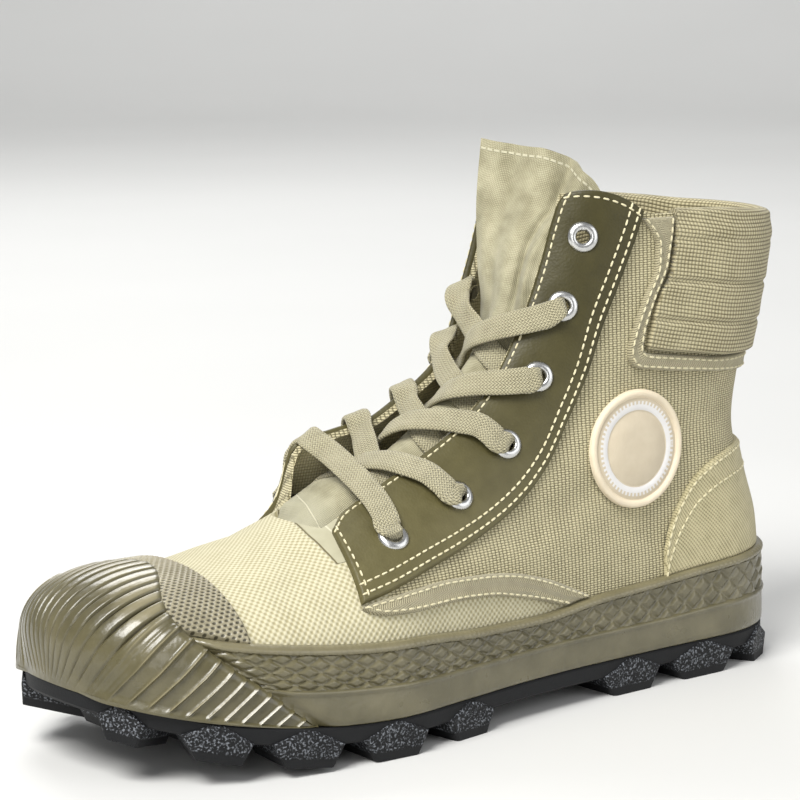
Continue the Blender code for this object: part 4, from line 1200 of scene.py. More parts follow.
def make_pins():
    """Round pins through the eyelets' places, to take out of leather and canvas."""
    section = [(0, -PIN_REACH), (EYELET_HOLE, -PIN_REACH), (EYELET_HOLE, PIN_REACH), (0, PIN_REACH)]
    patches = []
    for side in (LATERAL, MEDIAL):
        for row in EYELET_ROWS:
            grid = turned_ring(*eyelet_seat(side, row), section, PIN_SIDES)
            patches.append((grid, plain_marks(grid), 0))
    return make_piece("pins", patches, [], [])


# Section of an eyelet, rolled over at its mouth: radius, height over its seat
EYELET_PROFILE = [
    (2.35, -3.9), (2.3, -1.5), (2.3, -0.2), (2.4, 0.35), (2.75, 0.8), (3.3, 1.0), (3.9, 0.95), (4.6, 0.65),
    (5.1, 0.2), (5.3, -0.25), (5.2, -0.7), (3.0, -0.7), (2.75, -1.5), (2.75, -3.9), (2.35, -3.9),
]
EYELET_SIDES = 40


def make_eyelets(finish):
    """Turned rings: the profile of radius and height carried round each eyelet's axis."""
    section = [(radius, high - EYELET_DISH) for radius, high in EYELET_PROFILE]
    for side, word in ((LATERAL, "lateral"), (MEDIAL, "medial")):
        for number, row in enumerate(EYELET_ROWS, 1):
            grid = turned_ring(*eyelet_seat(side, row), section, EYELET_SIDES)
            patches = [(grid, plain_marks(grid), 0)]
            nodes = [f"eyelet_{word}_{number}"]
            make_piece(f"ring_{word}_{number}", patches, [finish], nodes)


# Rubber toe cap: its ribs run from its upper and rear edge down and forward to the sole
CAP_POLE_X = -96.0
CAP_POLE_Z = 25.0
CAP_RIBS = 38
CAP_GROOVE_DEEP = 1.5
CAP_FLUTE_DEEP = 1.3
CAP_COLUMNS_A_RIB = 16
CAP_ROW_COUNT = 50
# Widths of a groove over the toe and of a crest at the sides, as shares of half a rib
CAP_GROOVE_WIDE = 0.18
CAP_CREST_WIDE = 0.17
# Where ribs turn into ridges, as shares across; where the lip ends, as shares up a rib
CAP_SIDES = (0.31, 0.43)
CAP_LIP = (0.03, 0.16)
# Where the toe turns down: share across, width as a share, shares up between which the relief comes back
CAP_TURN = 0.22
CAP_TURN_WIDE = 0.24
CAP_TURN_UP = (0.38, 0.66)
# How far in from the edge a rib's end is rounded, on a crest and further in a groove
CAP_END_ROLL = 1.2
CAP_END_SCALLOP = 2.2
# Its edge from the middle of the toe round to the sole: x, distance to the middle line, z
CAP_EDGE = [
    (-107.5, 0, 61.5), (-109.5, 8, 61), (-114, 17, 58.5), (-118, 25, 55), (-119, 30, 51.5),
    (-117.5, 35, 47.5), (-112.5, 39, 42), (-104, 43, 35), (-95, 45, 28.5), (-87, 46.5, 21.5),
    (-79.5, 47, 15.6),
]
# Where a rib meets the sole: share along the edge, share along the foot, so that ribs slant forward
cap_foot = smooth([
    (0, 0), (0.1, 0.03), (0.2, 0.075), (0.3, 0.145), (0.4, 0.255), (0.5, 0.375), (0.6, 0.495), (0.7, 0.61),
    (0.8, 0.725), (0.9, 0.85), (1, 1),
])
# Thickness up a rib from the sole to the edge: share, thickness over the toe, thickness at the sides
cap_top_thick = smooth([(0, 2.6), (0.25, 3.0), (0.5, 3.3), (0.75, 3.2), (1, 2.8)])
cap_side_thick = smooth([(0, 5.2), (0.25, 5.2), (0.5, 5.2), (0.75, 5.2), (1, 5.0)])


def toe_rays(way):
    """Points where rays from a pole inside the toe, along way, leave the last."""
    way = way / np.linalg.norm(way, axis=-1, keepdims=True)
    pole = np.array((CAP_POLE_X, centre(CAP_POLE_X), CAP_POLE_Z))
    near, far = np.full(way.shape[:-1], NEAR), np.full(way.shape[:-1], FAR)
    for _ in range(ROUNDS):
        middle = (near + far) / 2
        inside = level(pole + middle[..., None] * way) < 0
        near, far = np.where(inside, middle, near), np.where(inside, far, middle)
    return pole + near[..., None] * way


def along_path(path, shares):
    """Points at shares of a path's length."""
    run = np.concatenate(([0.0], np.cumsum(np.linalg.norm(np.diff(path, axis=0), axis=1))))
    return np.stack([np.interp(shares, run / run[-1], path[:, k]) for k in range(3)], -1)


def cap_edge_path(side):
    """Close-set points of the cap's edge on one side, from the middle of the toe to the sole."""
    x, off, z = spread(CAP_EDGE, 200).T
    return onto_last(np.stack((x, centre(x) + side * off, z), -1))


def cap_rays(shares, ups):
    """Points of the last under the cap: shares are -1 to 1 across its ribs, ups from sole to edge."""
    pole = np.array((CAP_POLE_X, centre(CAP_POLE_X), CAP_POLE_Z))
    low, high = np.zeros((len(shares), 3)), np.zeros((len(shares), 3))
    for side in (LATERAL, MEDIAL):
        foot = course(over_sole(on_sole), side, TOE_X)
        foot = foot[foot[:, 0] < CAP_EDGE[-1][0]]
        here = shares * side >= 0
        low[here] = along_path(foot, cap_foot(np.abs(shares[here])))
        high[here] = along_path(cap_edge_path(side), np.abs(shares[here]))
    starts, ends = (part - pole for part in (low, high))
    starts /= np.linalg.norm(starts, axis=1, keepdims=True)
    ends /= np.linalg.norm(ends, axis=1, keepdims=True)
    return toe_rays(starts + (ends - starts) * np.asarray(ups)[:, None, None])


def cap_edge(side):
    """Where the cap's rear edge lies at a height over the sole, as a function."""
    edge = cap_edge_path(side)[::-1]
    height = edge[:, 2] - SOLE_TOP - rise(edge[:, 0])
    return lambda at: np.interp(at, height, edge[:, 0])


def make_toe_cap(finish):
    """Ribbed rubber: broad ribs and narrow grooves over the toe, narrow ridges and flutes at its sides.

    Along a rib the relief fades into a smooth lip at the sole and is faint where the toe turns down. Its end
    at the edge is rounded, so that the edge is scalloped. Grooves and crests are bell curves across a rib.
    """
    shares = np.linspace(-1, 1, CAP_RIBS * CAP_COLUMNS_A_RIB + 1)
    ups = edge_shares(CAP_ROW_COUNT, 0.03)
    phase = (shares + 1) * CAP_RIBS / 2
    within = phase - np.floor(phase)
    to_groove = np.abs(within - 0.5) * 2
    groove = np.exp(-((to_groove / CAP_GROOVE_WIDE) ** 2)) + 0.1 * (1 - to_groove)
    crest = np.exp(-(((1 - to_groove) / CAP_CREST_WIDE) ** 2))
    slant = np.where(shares < 0, within, 1 - within)
    flute = (1 - crest) * (0.6 + 0.5 * slant)
    aside = soft_step(np.abs(shares), *CAP_SIDES)
    up = ups[:, None]
    lip = soft_step(up, *CAP_LIP)
    turn = np.exp(-(((np.abs(shares) - CAP_TURN) / CAP_TURN_WIDE) ** 4))[None, :]
    turn = turn * (1 - soft_step(up, *CAP_TURN_UP))
    carved = CAP_GROOVE_DEEP * groove * (1 - aside) + CAP_FLUTE_DEEP * flute * aside
    relief = carved[None, :] * lip * (1 - 0.65 * turn)
    grid = cap_rays(shares, ups)
    thick = cap_top_thick(up) * (1 - aside) + cap_side_thick(up) * aside
    left = runs(grid[::-1], 0)[::-1]
    ends = CAP_END_ROLL + CAP_END_SCALLOP * (groove * (1 - aside) + flute * aside)
    lift = BAND_GAP + (thick - relief - BAND_GAP) * rolled(left, ends)
    outer, inner = pushed(grid, lift), pushed(grid, EDGE_LOW)
    outer[0] = pushed(grid[0], lift[0], flat=True)
    marks = cloth_marks(grid)
    # Third mark, painted light and shade: grooves over the toe painted dark, ribs higher up painted paler,
    # and at the sides each crest painted pale as a highlight, with each flute painted darker towards one
    # crest as its shadow.
    painted_top_light = 0.6 * (1 - groove) * soft_step(up, 0.45, 0.8)
    tone = (groove - painted_top_light) * (1 - aside) + (0.4 * flute * slant - 0.7 * crest) * aside
    marks[..., 2] = tone * lip * (1 - 0.8 * turn) * soft_step(left, 0.3, 2.5)
    make_piece("rubber_toe_cap", shell(outer, inner, marks), [finish], ["toe_cap"])


# Toe patch: x of its straight rear edge, z of that edge's ends, thickness, share of the cap's edge in front,
# how far up under the cap it starts, and width of its soft edge
PATCH_REAR_X = -98.5
PATCH_FOOT_Z = 41.5
PATCH_THICK = 1.5
PATCH_SHARE = 0.43
PATCH_UNDER_CAP = 0.96
PATCH_EDGE = 1.2
PATCH_ROW_COUNT = 112
PATCH_COLUMNS = 350
# Its dimples: step along a row, step from row to row, depth, half width as a share of a step
PATCH_DIMPLE_LONG = 2.1
PATCH_DIMPLE_ROW = 1.45
PATCH_DIMPLE_DEEP = 0.5
PATCH_DIMPLE_WIDE = 0.35


def patch_grid(rows, columns):
    """Points of the last between the cap's upper edge and the straight front edge of the canvas."""
    share = np.linspace(-1, 1, columns)
    front = cap_rays(PATCH_SHARE * share, np.array((0.0, PATCH_UNDER_CAP)))[1]
    wide = [half_width(PATCH_REAR_X, PATCH_FOOT_Z, side) for side in (LATERAL, MEDIAL)]
    rear = top_points(PATCH_REAR_X, np.where(share < 0, wide[0], wide[1]) * share)
    back_share = np.linspace(0, 1, rows)[:, None, None]
    return onto_last(front + (rear - front) * back_share)


def make_toe_patch(finish):
    """Rubber between cap and canvas, pressed with rows of dimples, each row half a step on from the last."""
    grid = patch_grid(PATCH_ROW_COUNT, PATCH_COLUMNS)
    across = runs(grid, 1)
    across = across - across[:, across.shape[1] // 2][:, None]
    row = np.floor(across / PATCH_DIMPLE_ROW)
    step = (grid[..., 0] / PATCH_DIMPLE_LONG + 0.5 * (row % 2)) % 1 - 0.5
    aside = across / PATCH_DIMPLE_ROW - row - 0.5
    dimple = np.exp(-(((step**2 + aside**2) / PATCH_DIMPLE_WIDE**2) ** 2))
    edge = soft_step(from_edge(grid), 0.0, PATCH_EDGE)
    lift = GAP + (PATCH_THICK - PATCH_DIMPLE_DEEP * dimple) * edge
    # The dimple is also the third mark, which the rubber finish reads as painted shade, darker in each
    # dimple.
    marks = np.stack((across, grid[..., 0], dimple), -1)
    patches = shell(pushed(grid, lift), pushed(grid, EDGE_LOW), marks)
    make_piece("rubber_toe_patch", patches, [finish], ["toe_patch"])


# How far the bands run in under the cap's scalloped end: height over the sole, distance along x
cap_clear = smooth([(0, -1.5), (12, -1.5), (26, -1.0)])
# Depth and length of a band's sunk ends, scales of the upper band, and ribs of its lip
BAND_END_SINK = 2.4
BAND_END_RUN = 5.0
KNURL_LONG = 8.8
KNURL_HIGH = 4.0
KNURL_DEEP = 0.95
KNURL_TILT = 0.5
LIP_RIB = 2.2
LIP_RIB_DEEP = 0.16
BAND_COLUMNS = 420


def band_grid(rows, relief=None):
    """Shell of a band, carried round the heel from one side of the cap to the other.

    Its rows are height over the sole and distance out, as functions of x, and relief adds to the distance.
    """
    edges = cap_edge(LATERAL), cap_edge(MEDIAL)
    fractions = np.linspace(0, 1, BAND_COLUMNS)
    base, out = [], []
    for height, distance in rows:
        halves = []
        for side, edge in zip((LATERAL, MEDIAL), edges):
            at = height(CAP_POLE_X)
            halves.append(along_path(course(over_sole(height), side, edge(at) + cap_clear(at)), fractions))
        row = np.concatenate((halves[0], halves[1][-2::-1]))
        base.append(row)
        out.append(distance(row[:, 0]))
    base, out = np.stack(base), np.stack(out)
    marks = cloth_marks(base)
    if relief is not None:
        high, pale = relief(marks)
        out = out + high
        # The relief's paleness, a painted highlight, becomes the third mark, which the rubber finish paints
        # paler.
        marks[..., 2] = -pale
    run = runs(base, 1)
    out = out - BAND_END_SINK * np.exp(-((np.minimum(run, run[:, -1:] - run) / BAND_END_RUN) ** 2))
    return shell(pushed(base, out, flat=True), pushed(base, EDGE_LOW, flat=True), marks)


def band_face(thick, flare):
    """Distance of a band's face to the last over its length: its thickness and a share of the flare."""
    return lambda x: thick + flare * ball_flare(x)


def between(low, high, share):
    """A height function at a share of the way between two others."""
    return lambda x: low(x) + (high(x) - low(x)) * share


# Sidewall: share up the band, thickness, share of the flare
SIDEWALL_ROWS = [
    (0, 3.6, 1.0), (0, 4.3, 1.0), (0.04, 4.7, 1.0), (0.2, 4.7, 0.95), (0.5, 4.4, 0.9), (0.8, 4.1, 0.75),
    (0.86, 4.1, 0.7), (0.9, 4.5, 0.7), (0.95, 4.6, 0.7), (1.0, 4.3, 0.7), (1.03, 3.4, 0.7),
]
# Lip of the textured band: distance below its top, thickness
LIP_ROWS = [(2.75, 2.7), (2.6, 3.1), (2.2, 3.5), (1.6, 3.7), (1.0, 3.6), (0.5, 3.0), (0.15, 2.4), (0.0, 1.8)]
KNURL_ROWS = 36


def knurl(marks):
    """Relief and paleness of the scales and of the ribbed lip above them; on the scales the paleness is a
    painted highlight on their tilted-out tops.

    The scales are diamonds between slanting grooves, each tilted out at its top, and the lip is a sine.
    """
    u, v = marks[..., 0], marks[..., 1]
    first = u / KNURL_LONG + v / KNURL_HIGH / 2
    second = u / KNURL_LONG - v / KNURL_HIGH / 2
    high = np.minimum(0.5 - np.abs(first % 1 - 0.5), 0.5 - np.abs(second % 1 - 0.5)) * 2
    tilt = first % 1 - second % 1
    rows = np.arange(len(u))[:, None]
    face = (rows > 1) & (rows < 2 + KNURL_ROWS)
    lip = rows >= 2 + KNURL_ROWS
    scales = KNURL_DEEP * (np.clip(high * 2.0, 0, 1) - 0.6) + KNURL_TILT * tilt * np.clip(high * 4, 0, 1)
    # Painted highlight: each scale is paler towards its tilted-out top; the lip is paler all over.
    pale = 0.3 * np.clip(tilt, 0, 1) ** 2 * face + 0.4 * lip
    return scales * face + LIP_RIB_DEEP * np.sin(u * (2 * math.pi / LIP_RIB)) * lip, pale


def make_bands(finish):
    """The smooth lower band and the textured upper one, each a shell carried round the boot."""
    rows = [(between(on_sole, band_line, share), band_face(*face)) for share, *face in SIDEWALL_ROWS]
    make_piece("rubber_sidewall", band_grid(rows), [finish], ["sidewall_band"])
    under_lip = lambda x: band_top(x) - BAND_LIP
    rows = [(band_line, band_face(2.4, 0.7)), (band_line, band_face(3.3, 0.7))]
    for share in np.linspace(0.02, 0.98, KNURL_ROWS):
        rows.append((between(band_line, under_lip, share), band_face(3.5 - 0.8 * share, 0.7 - 0.4 * share)))
    for below, thick in LIP_ROWS:
        rows.append((lambda x, below=below: band_top(x) - below, band_face(thick, 0.3)))
    make_piece("rubber_knurl", band_grid(rows, knurl), [finish], ["texture_band"])


def sole_outline(out, count):
    """Outer and inner half of the last's outline at the sole, from toe to heel, moved out level by out."""
    fractions = np.linspace(0, 1, count + 1)
    edges = [course(over_sole(on_sole), side, TOE_X) for side in (LATERAL, MEDIAL)]
    halves = [resample(edge, fractions) for edge in edges]
    return [pushed(half, out(half[:, 0]), flat=True) for half in halves]


def ring_slab(out, rows, count):
    """A plate by rows of inset from its outline and height, carried from toe to heel on both sides."""
    loops = []
    for inwards, height in rows:
        halves = sole_outline(lambda x: out(x) - inwards, count)
        loops.append([np.column_stack((half[:, :2], height + rise(half[:, 0]))) for half in halves])
    columns = [outer for outer, _ in loops] + [inner for _, inner in loops[::-1]]
    grid = np.stack(columns + columns[:1], 1)
    return [(grid, plain_marks(grid), 0)]


# Section of the outsole's plate: inset from its outline, height
PLATE_ROWS = [
    (6.0, PLATE_BOTTOM), (0.7, PLATE_BOTTOM), (0.0, PLATE_BOTTOM + 0.8), (0.0, 12.0),
    (0.5, SOLE_TOP - SEAT),
]
PLATE_COLUMNS = 140
OUTLINE_POINTS = 400
PLATE_SHARP_ANGLE = 25
# Lugs along the edge of the outsole: x of the middle, length on the floor
EDGE_LUGS = [(-136, 11), (-113, 15), (-84, 17), (-51, 17), (-17, 15), (62, 18), (96, 20), (129, 13)]
EDGE_LUG_DEEP = 21.0
# Lugs along the middle: x of the middle, half width
MIDDLE_LUGS = [(-118, 9), (-98, 14), (-67, 15), (-34, 14), (79, 10), (112, 9)]
MIDDLE_LUG_LONG = 17.0
# Outline of a lug's face: share of half its root length, height
LUG_FACE = [(-LUG_TAPER, 0), (LUG_TAPER, 0), (1, 7.4), (0.16, 12.2), (-0.16, 12.2), (-1, 7.4)]
# Rows of a lug's softened face: distance inwards, share of its outline
LUG_FACE_ROWS = [(-0.9, 0.86), (-0.5, 0.96), (0.2, 1.0)]
LUG_MIDDLE_Z = 6.0


def lug_patches(spot, along, inwards, long, deep):
    """One lug: a face with a pointed top, set a little out from the plate, carried inwards."""
    face = np.array(LUG_FACE, float)
    rows = []
    for far, share in (*LUG_FACE_ROWS, (deep, 1.0)):
        flat = spot[:2] + np.outer(face[:, 0] * share * long / LUG_TAPER / 2, along) + far * inwards
        height = LUG_MIDDLE_Z + (face[:, 1] - LUG_MIDDLE_Z) * np.where(face[:, 1] > 0, share, 1)
        rows.append(np.column_stack((flat, height + rise(flat[:, 0]))))
    grid = np.stack(rows)
    grid = np.concatenate((grid, grid[:, :1]), 1)
    ends = [np.stack((row[[0, 1]], row[[5, 2]], row[[4, 3]])) for row in (rows[0], rows[-1])]
    return [(part, part * (0, 0, 1) - (0, 0, 1) * rise(part[..., :1]), 0) for part in (grid, *ends)]


def make_outsole(finish):
    """The plate with softened edges, and its lugs along the edge and down the middle."""
    out = lambda x: EDGE_OUT + ball_flare(x)
    patches = ring_slab(out, PLATE_ROWS, PLATE_COLUMNS)
    for half in sole_outline(out, OUTLINE_POINTS):
        for x, long in EDGE_LUGS:
            i = int(np.argmin(np.abs(half[:, 0] - x)))
            along = half[i + 1, :2] - half[i - 1, :2]
            along /= np.linalg.norm(along)
            inwards = np.array((-along[1], along[0]))
            inwards *= np.sign(inwards @ (np.array((0.0, centre(x))) - half[i, :2]))
            patches += lug_patches(half[i], along, inwards, long, EDGE_LUG_DEEP)
    for x, half_long in MIDDLE_LUGS:
        spot = np.array((x, centre(x) - half_long))
        along, inwards = np.eye(2)
        patches += lug_patches(spot, along, inwards, MIDDLE_LUG_LONG, 2 * half_long)
    make_piece("rubber_outsole", patches, [finish], ["outsole"], sharp=PLATE_SHARP_ANGLE)


INSOLE_ROUND = 1.0
INSOLE_COLUMNS = 80


def make_insole(finish):
    """A board on the sole: the last's outline, drawn in by the upper's wall, with a softened top edge."""
    out = lambda x: -WALL - INSOLE_CLEAR - cap_sink(x)
    top = SOLE_TOP + INSOLE_THICK
    rows = [(0.0, SOLE_TOP), (0.0, top - INSOLE_ROUND), (INSOLE_ROUND, top)]
    patches = ring_slab(out, rows, INSOLE_COLUMNS)
    made = make_piece("cloth_insole", patches, [finish], ["insole"])
    set_marks(made, "marks", lambda points: points * (1, 1, 0))


# Heel counter: angle from the back, z of its edge
counter_edge = smooth([(0, 80), (59, 78.7), (80, 77), (102, 71.7), (116, 62.8), (123, 53), (126, 42)])
COUNTER_END = 125.0
COUNTER_LOW_Z = 40.0
COUNTER_CLEAR = 0.3
COUNTER_ROLL = 1.0
COUNTER_ROW_COUNT = 30
COUNTER_COLUMNS = 150


def counter_grid(rows, columns):
    """Points of the last round the heel, from the top of the bands up to the counter's edge."""
    end_roll, top_roll = 0.008, 0.04
    degrees = COUNTER_END * (2 * edge_shares(columns, end_roll) - 1)
    x = around(degrees, COUNTER_LOW_Z)[:, 0]
    low = SOLE_TOP + band_top(x) - COUNTER_CLEAR
    high = counter_edge(np.abs(degrees))
    ups = edge_shares(rows, top_roll)[:, None]
    return around(np.broadcast_to(degrees, (len(ups), len(degrees))), low + (high - low) * ups)


def make_heel_counter(finish):
    """A panel of cloth sewn on round the heel."""
    grid = counter_grid(COUNTER_ROW_COUNT, COUNTER_COLUMNS)
    patches = panel(grid, GAP + CLOTH, COUNTER_ROLL)
    make_piece("cloth_heel_counter", patches, [finish], ["heel_counter"])
    return grid


# Webbing cuff: z, angle of its front edge
cuff_edge = smooth([(113, 136), (121, 135), (136, 130.7), (146, 124.3), (163, 121.7)])
# Its lower edge: angle from the back, z
cuff_low = smooth([(0, 113), (60, 113), (80, 113.3), (100, 114.6), (127, 117), (140, 119)])
CUFF_HIGH_Z = 163.0
CUFF_END = 136.0
# The cuff's way over the collar: rise over the collar's edge, distance to the last
CUFF_OVER = [(0.9, 2.7), (1.6, 1.8), (1.9, 0.4), (1.7, -1.2), (1.0, -2.6), (0, -3.4)]
# Share of its height that it runs down inside, and how high its back stands
CUFF_INSIDE = 0.55
CUFF_BACK = -0.6
CUFF_COLUMNS = 170
# Shares up its face, closer together at its rolled lower edge
CUFF_UPS = np.concatenate(((0, 0.004, 0.012, 0.025), np.linspace(0.04, 1, 90)))
CUFF_ROLL = 0.03
# Sewn tucks across the cuff: share up it, depth
CUFF_TUCKS = [(0.23, 0.8), (0.51, 0.8), (0.81, 0.3)]
# Padding round the cuff: angle from the back, thickness
cuff_thick = smooth([(0, 3.6), (80, 3.6), (110, 2.8), (125, 2.2), (140, 2.0)])


def cuff_grid(ups, columns):
    """Points of the last under the cuff, at shares up from its lower edge to the collar."""
    shares = np.linspace(-1, 1, columns)
    high = collar_top(around(shares * cuff_edge(CUFF_HIGH_Z), CUFF_HIGH_Z)[:, 0])
    low = cuff_low(np.abs(shares) * CUFF_END)
    z = low + (high - low) * np.asarray(ups)[:, None]
    return around(shares[None, :] * cuff_edge(z), z)


def make_collar_cuff(finish):
    """Padded webbing: its face swells between sewn tucks, rolls over the collar and runs down inside."""
    ups = CUFF_UPS
    face = cuff_grid(ups, CUFF_COLUMNS)
    degrees = np.linspace(-1, 1, CUFF_COLUMNS) * cuff_edge(CUFF_HIGH_Z)
    padding = cuff_thick(np.abs(degrees))[None, :] * (1 - 0.35 * soft_step(ups, 0.86, 1.0))[:, None]
    lift = GAP + padding * rolled(ups, CUFF_ROLL)[:, None]
    for share, deep in CUFF_TUCKS:
        tuck = 0.35 * np.exp(-(((ups - share) / 0.1) ** 2)) - np.exp(-(((ups - share) / 0.02) ** 2))
        lift = lift + deep * tuck[:, None]
    rows = list(pushed(face, lift))
    for up, out in CUFF_OVER:
        row = pushed(face[-1], out * np.where(out > 0, lift[-1] / 3, 1))
        row[:, 2] += up
        rows.append(row)
    inside = face[::-1][: int(CUFF_INSIDE * len(face))]
    deepest = CUFF_OVER[-1][1]
    rows += [*pushed(inside, deepest), pushed(inside[-1], -WALL)]
    outer = np.stack(rows)
    under = np.concatenate((face, np.repeat(face[-1:], len(CUFF_OVER), 0), inside, inside[-1:]))
    inner = pushed(under, CUFF_BACK)
    make_piece("webbing_cuff", shell(outer, inner, cloth_marks(outer)), [finish], ["collar_cuff"])


# Tape round the cuff, from the collar down and round to the back: outer angle and z, inner angle and z
TAPE_ROWS = [
    (138.5, 163.5, 122.5, 163.5), (134, 158.5, 123, 158.5), (131.8, 154, 124, 154), (132, 147, 125.8, 147),
    (137.3, 135, 132, 136), (141, 124.5, 136.2, 125), (142.2, 118, 137, 119.5), (140, 112.8, 135.8, 117.4),
    (124, 110, 124, 115.8), (104, 108.5, 104, 114), (85, 107.4, 85, 112.8), (45, 106.2, 45, 112.3),
    (0, 105.8, 0, 112.3),
]
# Tapes: height of the collar tape's face, points along and across, share of the width that rolls
COLLAR_TAPE_FACE = GAP + CLOTH + 0.3
COLLAR_TAPE_COLUMNS = 130
SIDE_TAPE_COLUMNS = 110
TAPE_ROW_COUNT = 9
TAPE_ROLL_SHARE = 0.12


def tape_grid():
    """Points of the last under the collar's tape, between its two edges and round from side to side."""
    half = spread(TAPE_ROWS, COLLAR_TAPE_COLUMNS)
    both = np.concatenate((half * (-1, 1, -1, 1), half[-2::-1]))
    shares = edge_shares(TAPE_ROW_COUNT, TAPE_ROLL_SHARE)[:, None]
    degrees = both[:, 0] + (both[:, 2] - both[:, 0]) * shares
    return around(degrees, both[:, 1] + (both[:, 3] - both[:, 1]) * shares)


def make_collar_tape(finish):
    """A tape sewn on round the cuff."""
    grid = tape_grid()
    patches = panel(grid, COLLAR_TAPE_FACE, TAPE_ROLL)
    make_piece("cloth_collar_tape", patches, [finish], ["collar_tape"])
    return grid


# Strip up the back: z, distance to the last over upper, tape and cuff in turn
strip_lift = smooth([
    (82, 0.6), (94, 0.6), (103, 0.8), (105, 2.1), (111, 2.4), (113, 4.3), (125, 4.3), (138, 4.3), (152, 4.3),
    (156, 3.6), (160, 2.6),
])
STRIP_LOW_Z = 82.0
STRIP_HIGH_Z = 160.5
STRIP_BACK_SINK = 0.5
STRIP_ROW_COUNT = 90
STRIP_COLUMNS = 20
# Half its width, in degrees round the shaft, and the share of its width that rolls
STRIP_HALF = 16.0
STRIP_ROLL_SHARE = 0.06


def make_back_strip(finish):
    """A strip up the back that climbs over upper, tape and cuff, with rolled edges."""
    z = np.linspace(STRIP_LOW_Z, STRIP_HIGH_Z, STRIP_ROW_COUNT)
    degrees = STRIP_HALF * (2 * edge_shares(STRIP_COLUMNS, STRIP_ROLL_SHARE) - 1)
    grid = around(np.broadcast_to(degrees, (len(z), len(degrees))), z[:, None])
    base = strip_lift(z)[:, None]
    outer = pushed(grid, base + CLOTH * rolled(from_edge(grid), TAPE_ROLL))
    patches = shell(outer, pushed(grid, base - STRIP_BACK_SINK), cloth_marks(grid))
    make_piece("cloth_back_strip", patches, [finish], ["back_strip"])


# Tape along the lower edge of the quarter: x and z of its upper edge, x and z of its lower edge
SIDE_TAPE_ROWS = [
    (-55.6, 48.5, -57, 47.8), (-51.5, 49.3, -53.5, 46), (-46, 50.1, -47, 44.8), (-36, 51.3, -35, 44.5),
    (-22, 52.2, -19, 44.8), (-7, 51.6, -3.4, 43.8), (7.6, 49.9, 11.8, 40.8), (22.7, 46, 22.4, 37.8),
    (35, 41, 30.5, 35.4), (44.5, 36.4, 33, 35.2),
]


def make_side_tape(word, side, finish):
    """A tape sewn on under one quarter, between its upper and its lower edge."""
    rows = spread(SIDE_TAPE_ROWS, SIDE_TAPE_COLUMNS)
    upper = side_points(rows[:, 0], rows[:, 1], side)
    lower = side_points(rows[:, 2], rows[:, 3], side)
    shares = edge_shares(TAPE_ROW_COUNT, TAPE_ROLL_SHARE)[:, None, None]
    grid = onto_last(upper + (lower - upper) * shares)
    patches = panel(grid, BAND_GAP + CLOTH, TAPE_ROLL)
    make_piece(f"cloth_side_tape_{word}", patches, [finish], [f"side_tape_{word}"])
    return grid


# Section of the badge from its middle out and under: radius, distance to the last
BADGE_PROFILE = [
    (0, 1.7), (6, 1.7), (12.4, 1.6), (12.8, 1.3), (13.3, 1.3), (13.7, 1.55), (17.2, 1.55), (17.6, 1.2),
    (18.0, 1.2), (18.4, 1.9), (19.0, 2.25), (19.9, 2.25), (20.5, 1.9), (20.7, 1.2), (20.7, 0.2), (0, 0.2),
]
# Radii of its pale ring, of its ticks' ends and of its rim, and the number of ticks
BADGE_RING = (13.5, 15.5)
BADGE_TICK = 16.7
BADGE_RIM = 17.8
BADGE_TICKS = 60
BADGE_SIDES = 120


def make_ankle_badge(finish):
    """A blank round badge: its section carried round, on the side of the last."""
    angle = np.linspace(0, 2 * math.pi, BADGE_SIDES + 1)
    grid, marks = [], []
    for radius, lift in BADGE_PROFILE:
        spot = side_points(BADGE_X + radius * np.cos(angle), BADGE_Z + radius * np.sin(angle), LATERAL)
        grid.append(pushed(spot, lift))
        marks.append(np.column_stack((angle, np.full(len(angle), radius), 0 * angle)))
    patches = [(np.stack(grid), np.stack(marks), 0)]
    make_piece("rubber_ankle_badge", patches, [finish], ["ankle_badge"])


# The lace, each strap from its eyelet on: places of its middle on its way over the throat
LACE_BAR = [
    (-37.4, -30.6, 70.2), (-36.9, -27.6, 73.8), (-36.5, -23.0, 77.5), (-35.9, -14.4, 81.9),
    (-35.2, -4.0, 86.0), (-34.2, 7.0, 89.4), (-35.0, 15.0, 92.4), (-34.8, 18.8, 93.2),
    (-35.2, 23.5, 88.5), (-35.8, 27.0, 78.5),
]
# Straps from the outer eyelets, which lie on top, from the second eyelet up
LACE_OVER = [
    [
        (-11.4, -30.6, 78.4), (-13.8, -28.4, 81.4), (-16.6, -24.2, 84.9), (-20.4, -18.5, 87.0),
        (-23.5, -11.4, 88.0), (-25.6, -3.4, 87.0), (-26.6, 4.6, 84.8), (-27.4, 11.0, 81.6),
        (-28.0, 17.0, 79.0),
    ],
    [
        (11.4, -27.4, 92.8), (8.9, -25.6, 95.6), (6.4, -22.8, 98.1), (2.3, -18.5, 99.2),
        (-4.8, -10.9, 99.8), (-9.2, -0.5, 97.6), (-11.0, 6.4, 93.4), (-11.0, 9.4, 90.4),
        (-12.0, 16.0, 86.0),
    ],
    [
        (26.4, -25.8, 111.9), (22.8, -24.6, 111.7), (17.2, -20.6, 111.2), (11.8, -15.0, 110.6),
        (7.6, -9.0, 109.0), (8.1, 1.0, 105.0), (10.2, 8.4, 100.4), (9.0, 16.0, 95.0),
    ],
    [
        (35.0, -23.9, 132.8), (31.1, -21.6, 131.6), (25.7, -16.7, 129.9), (22.4, -9.9, 127.6),
        (20.9, -3.2, 124.9), (22.8, 4.5, 120.6), (24.6, 8.6, 115.2), (24.0, 16.0, 109.0),
    ],
]
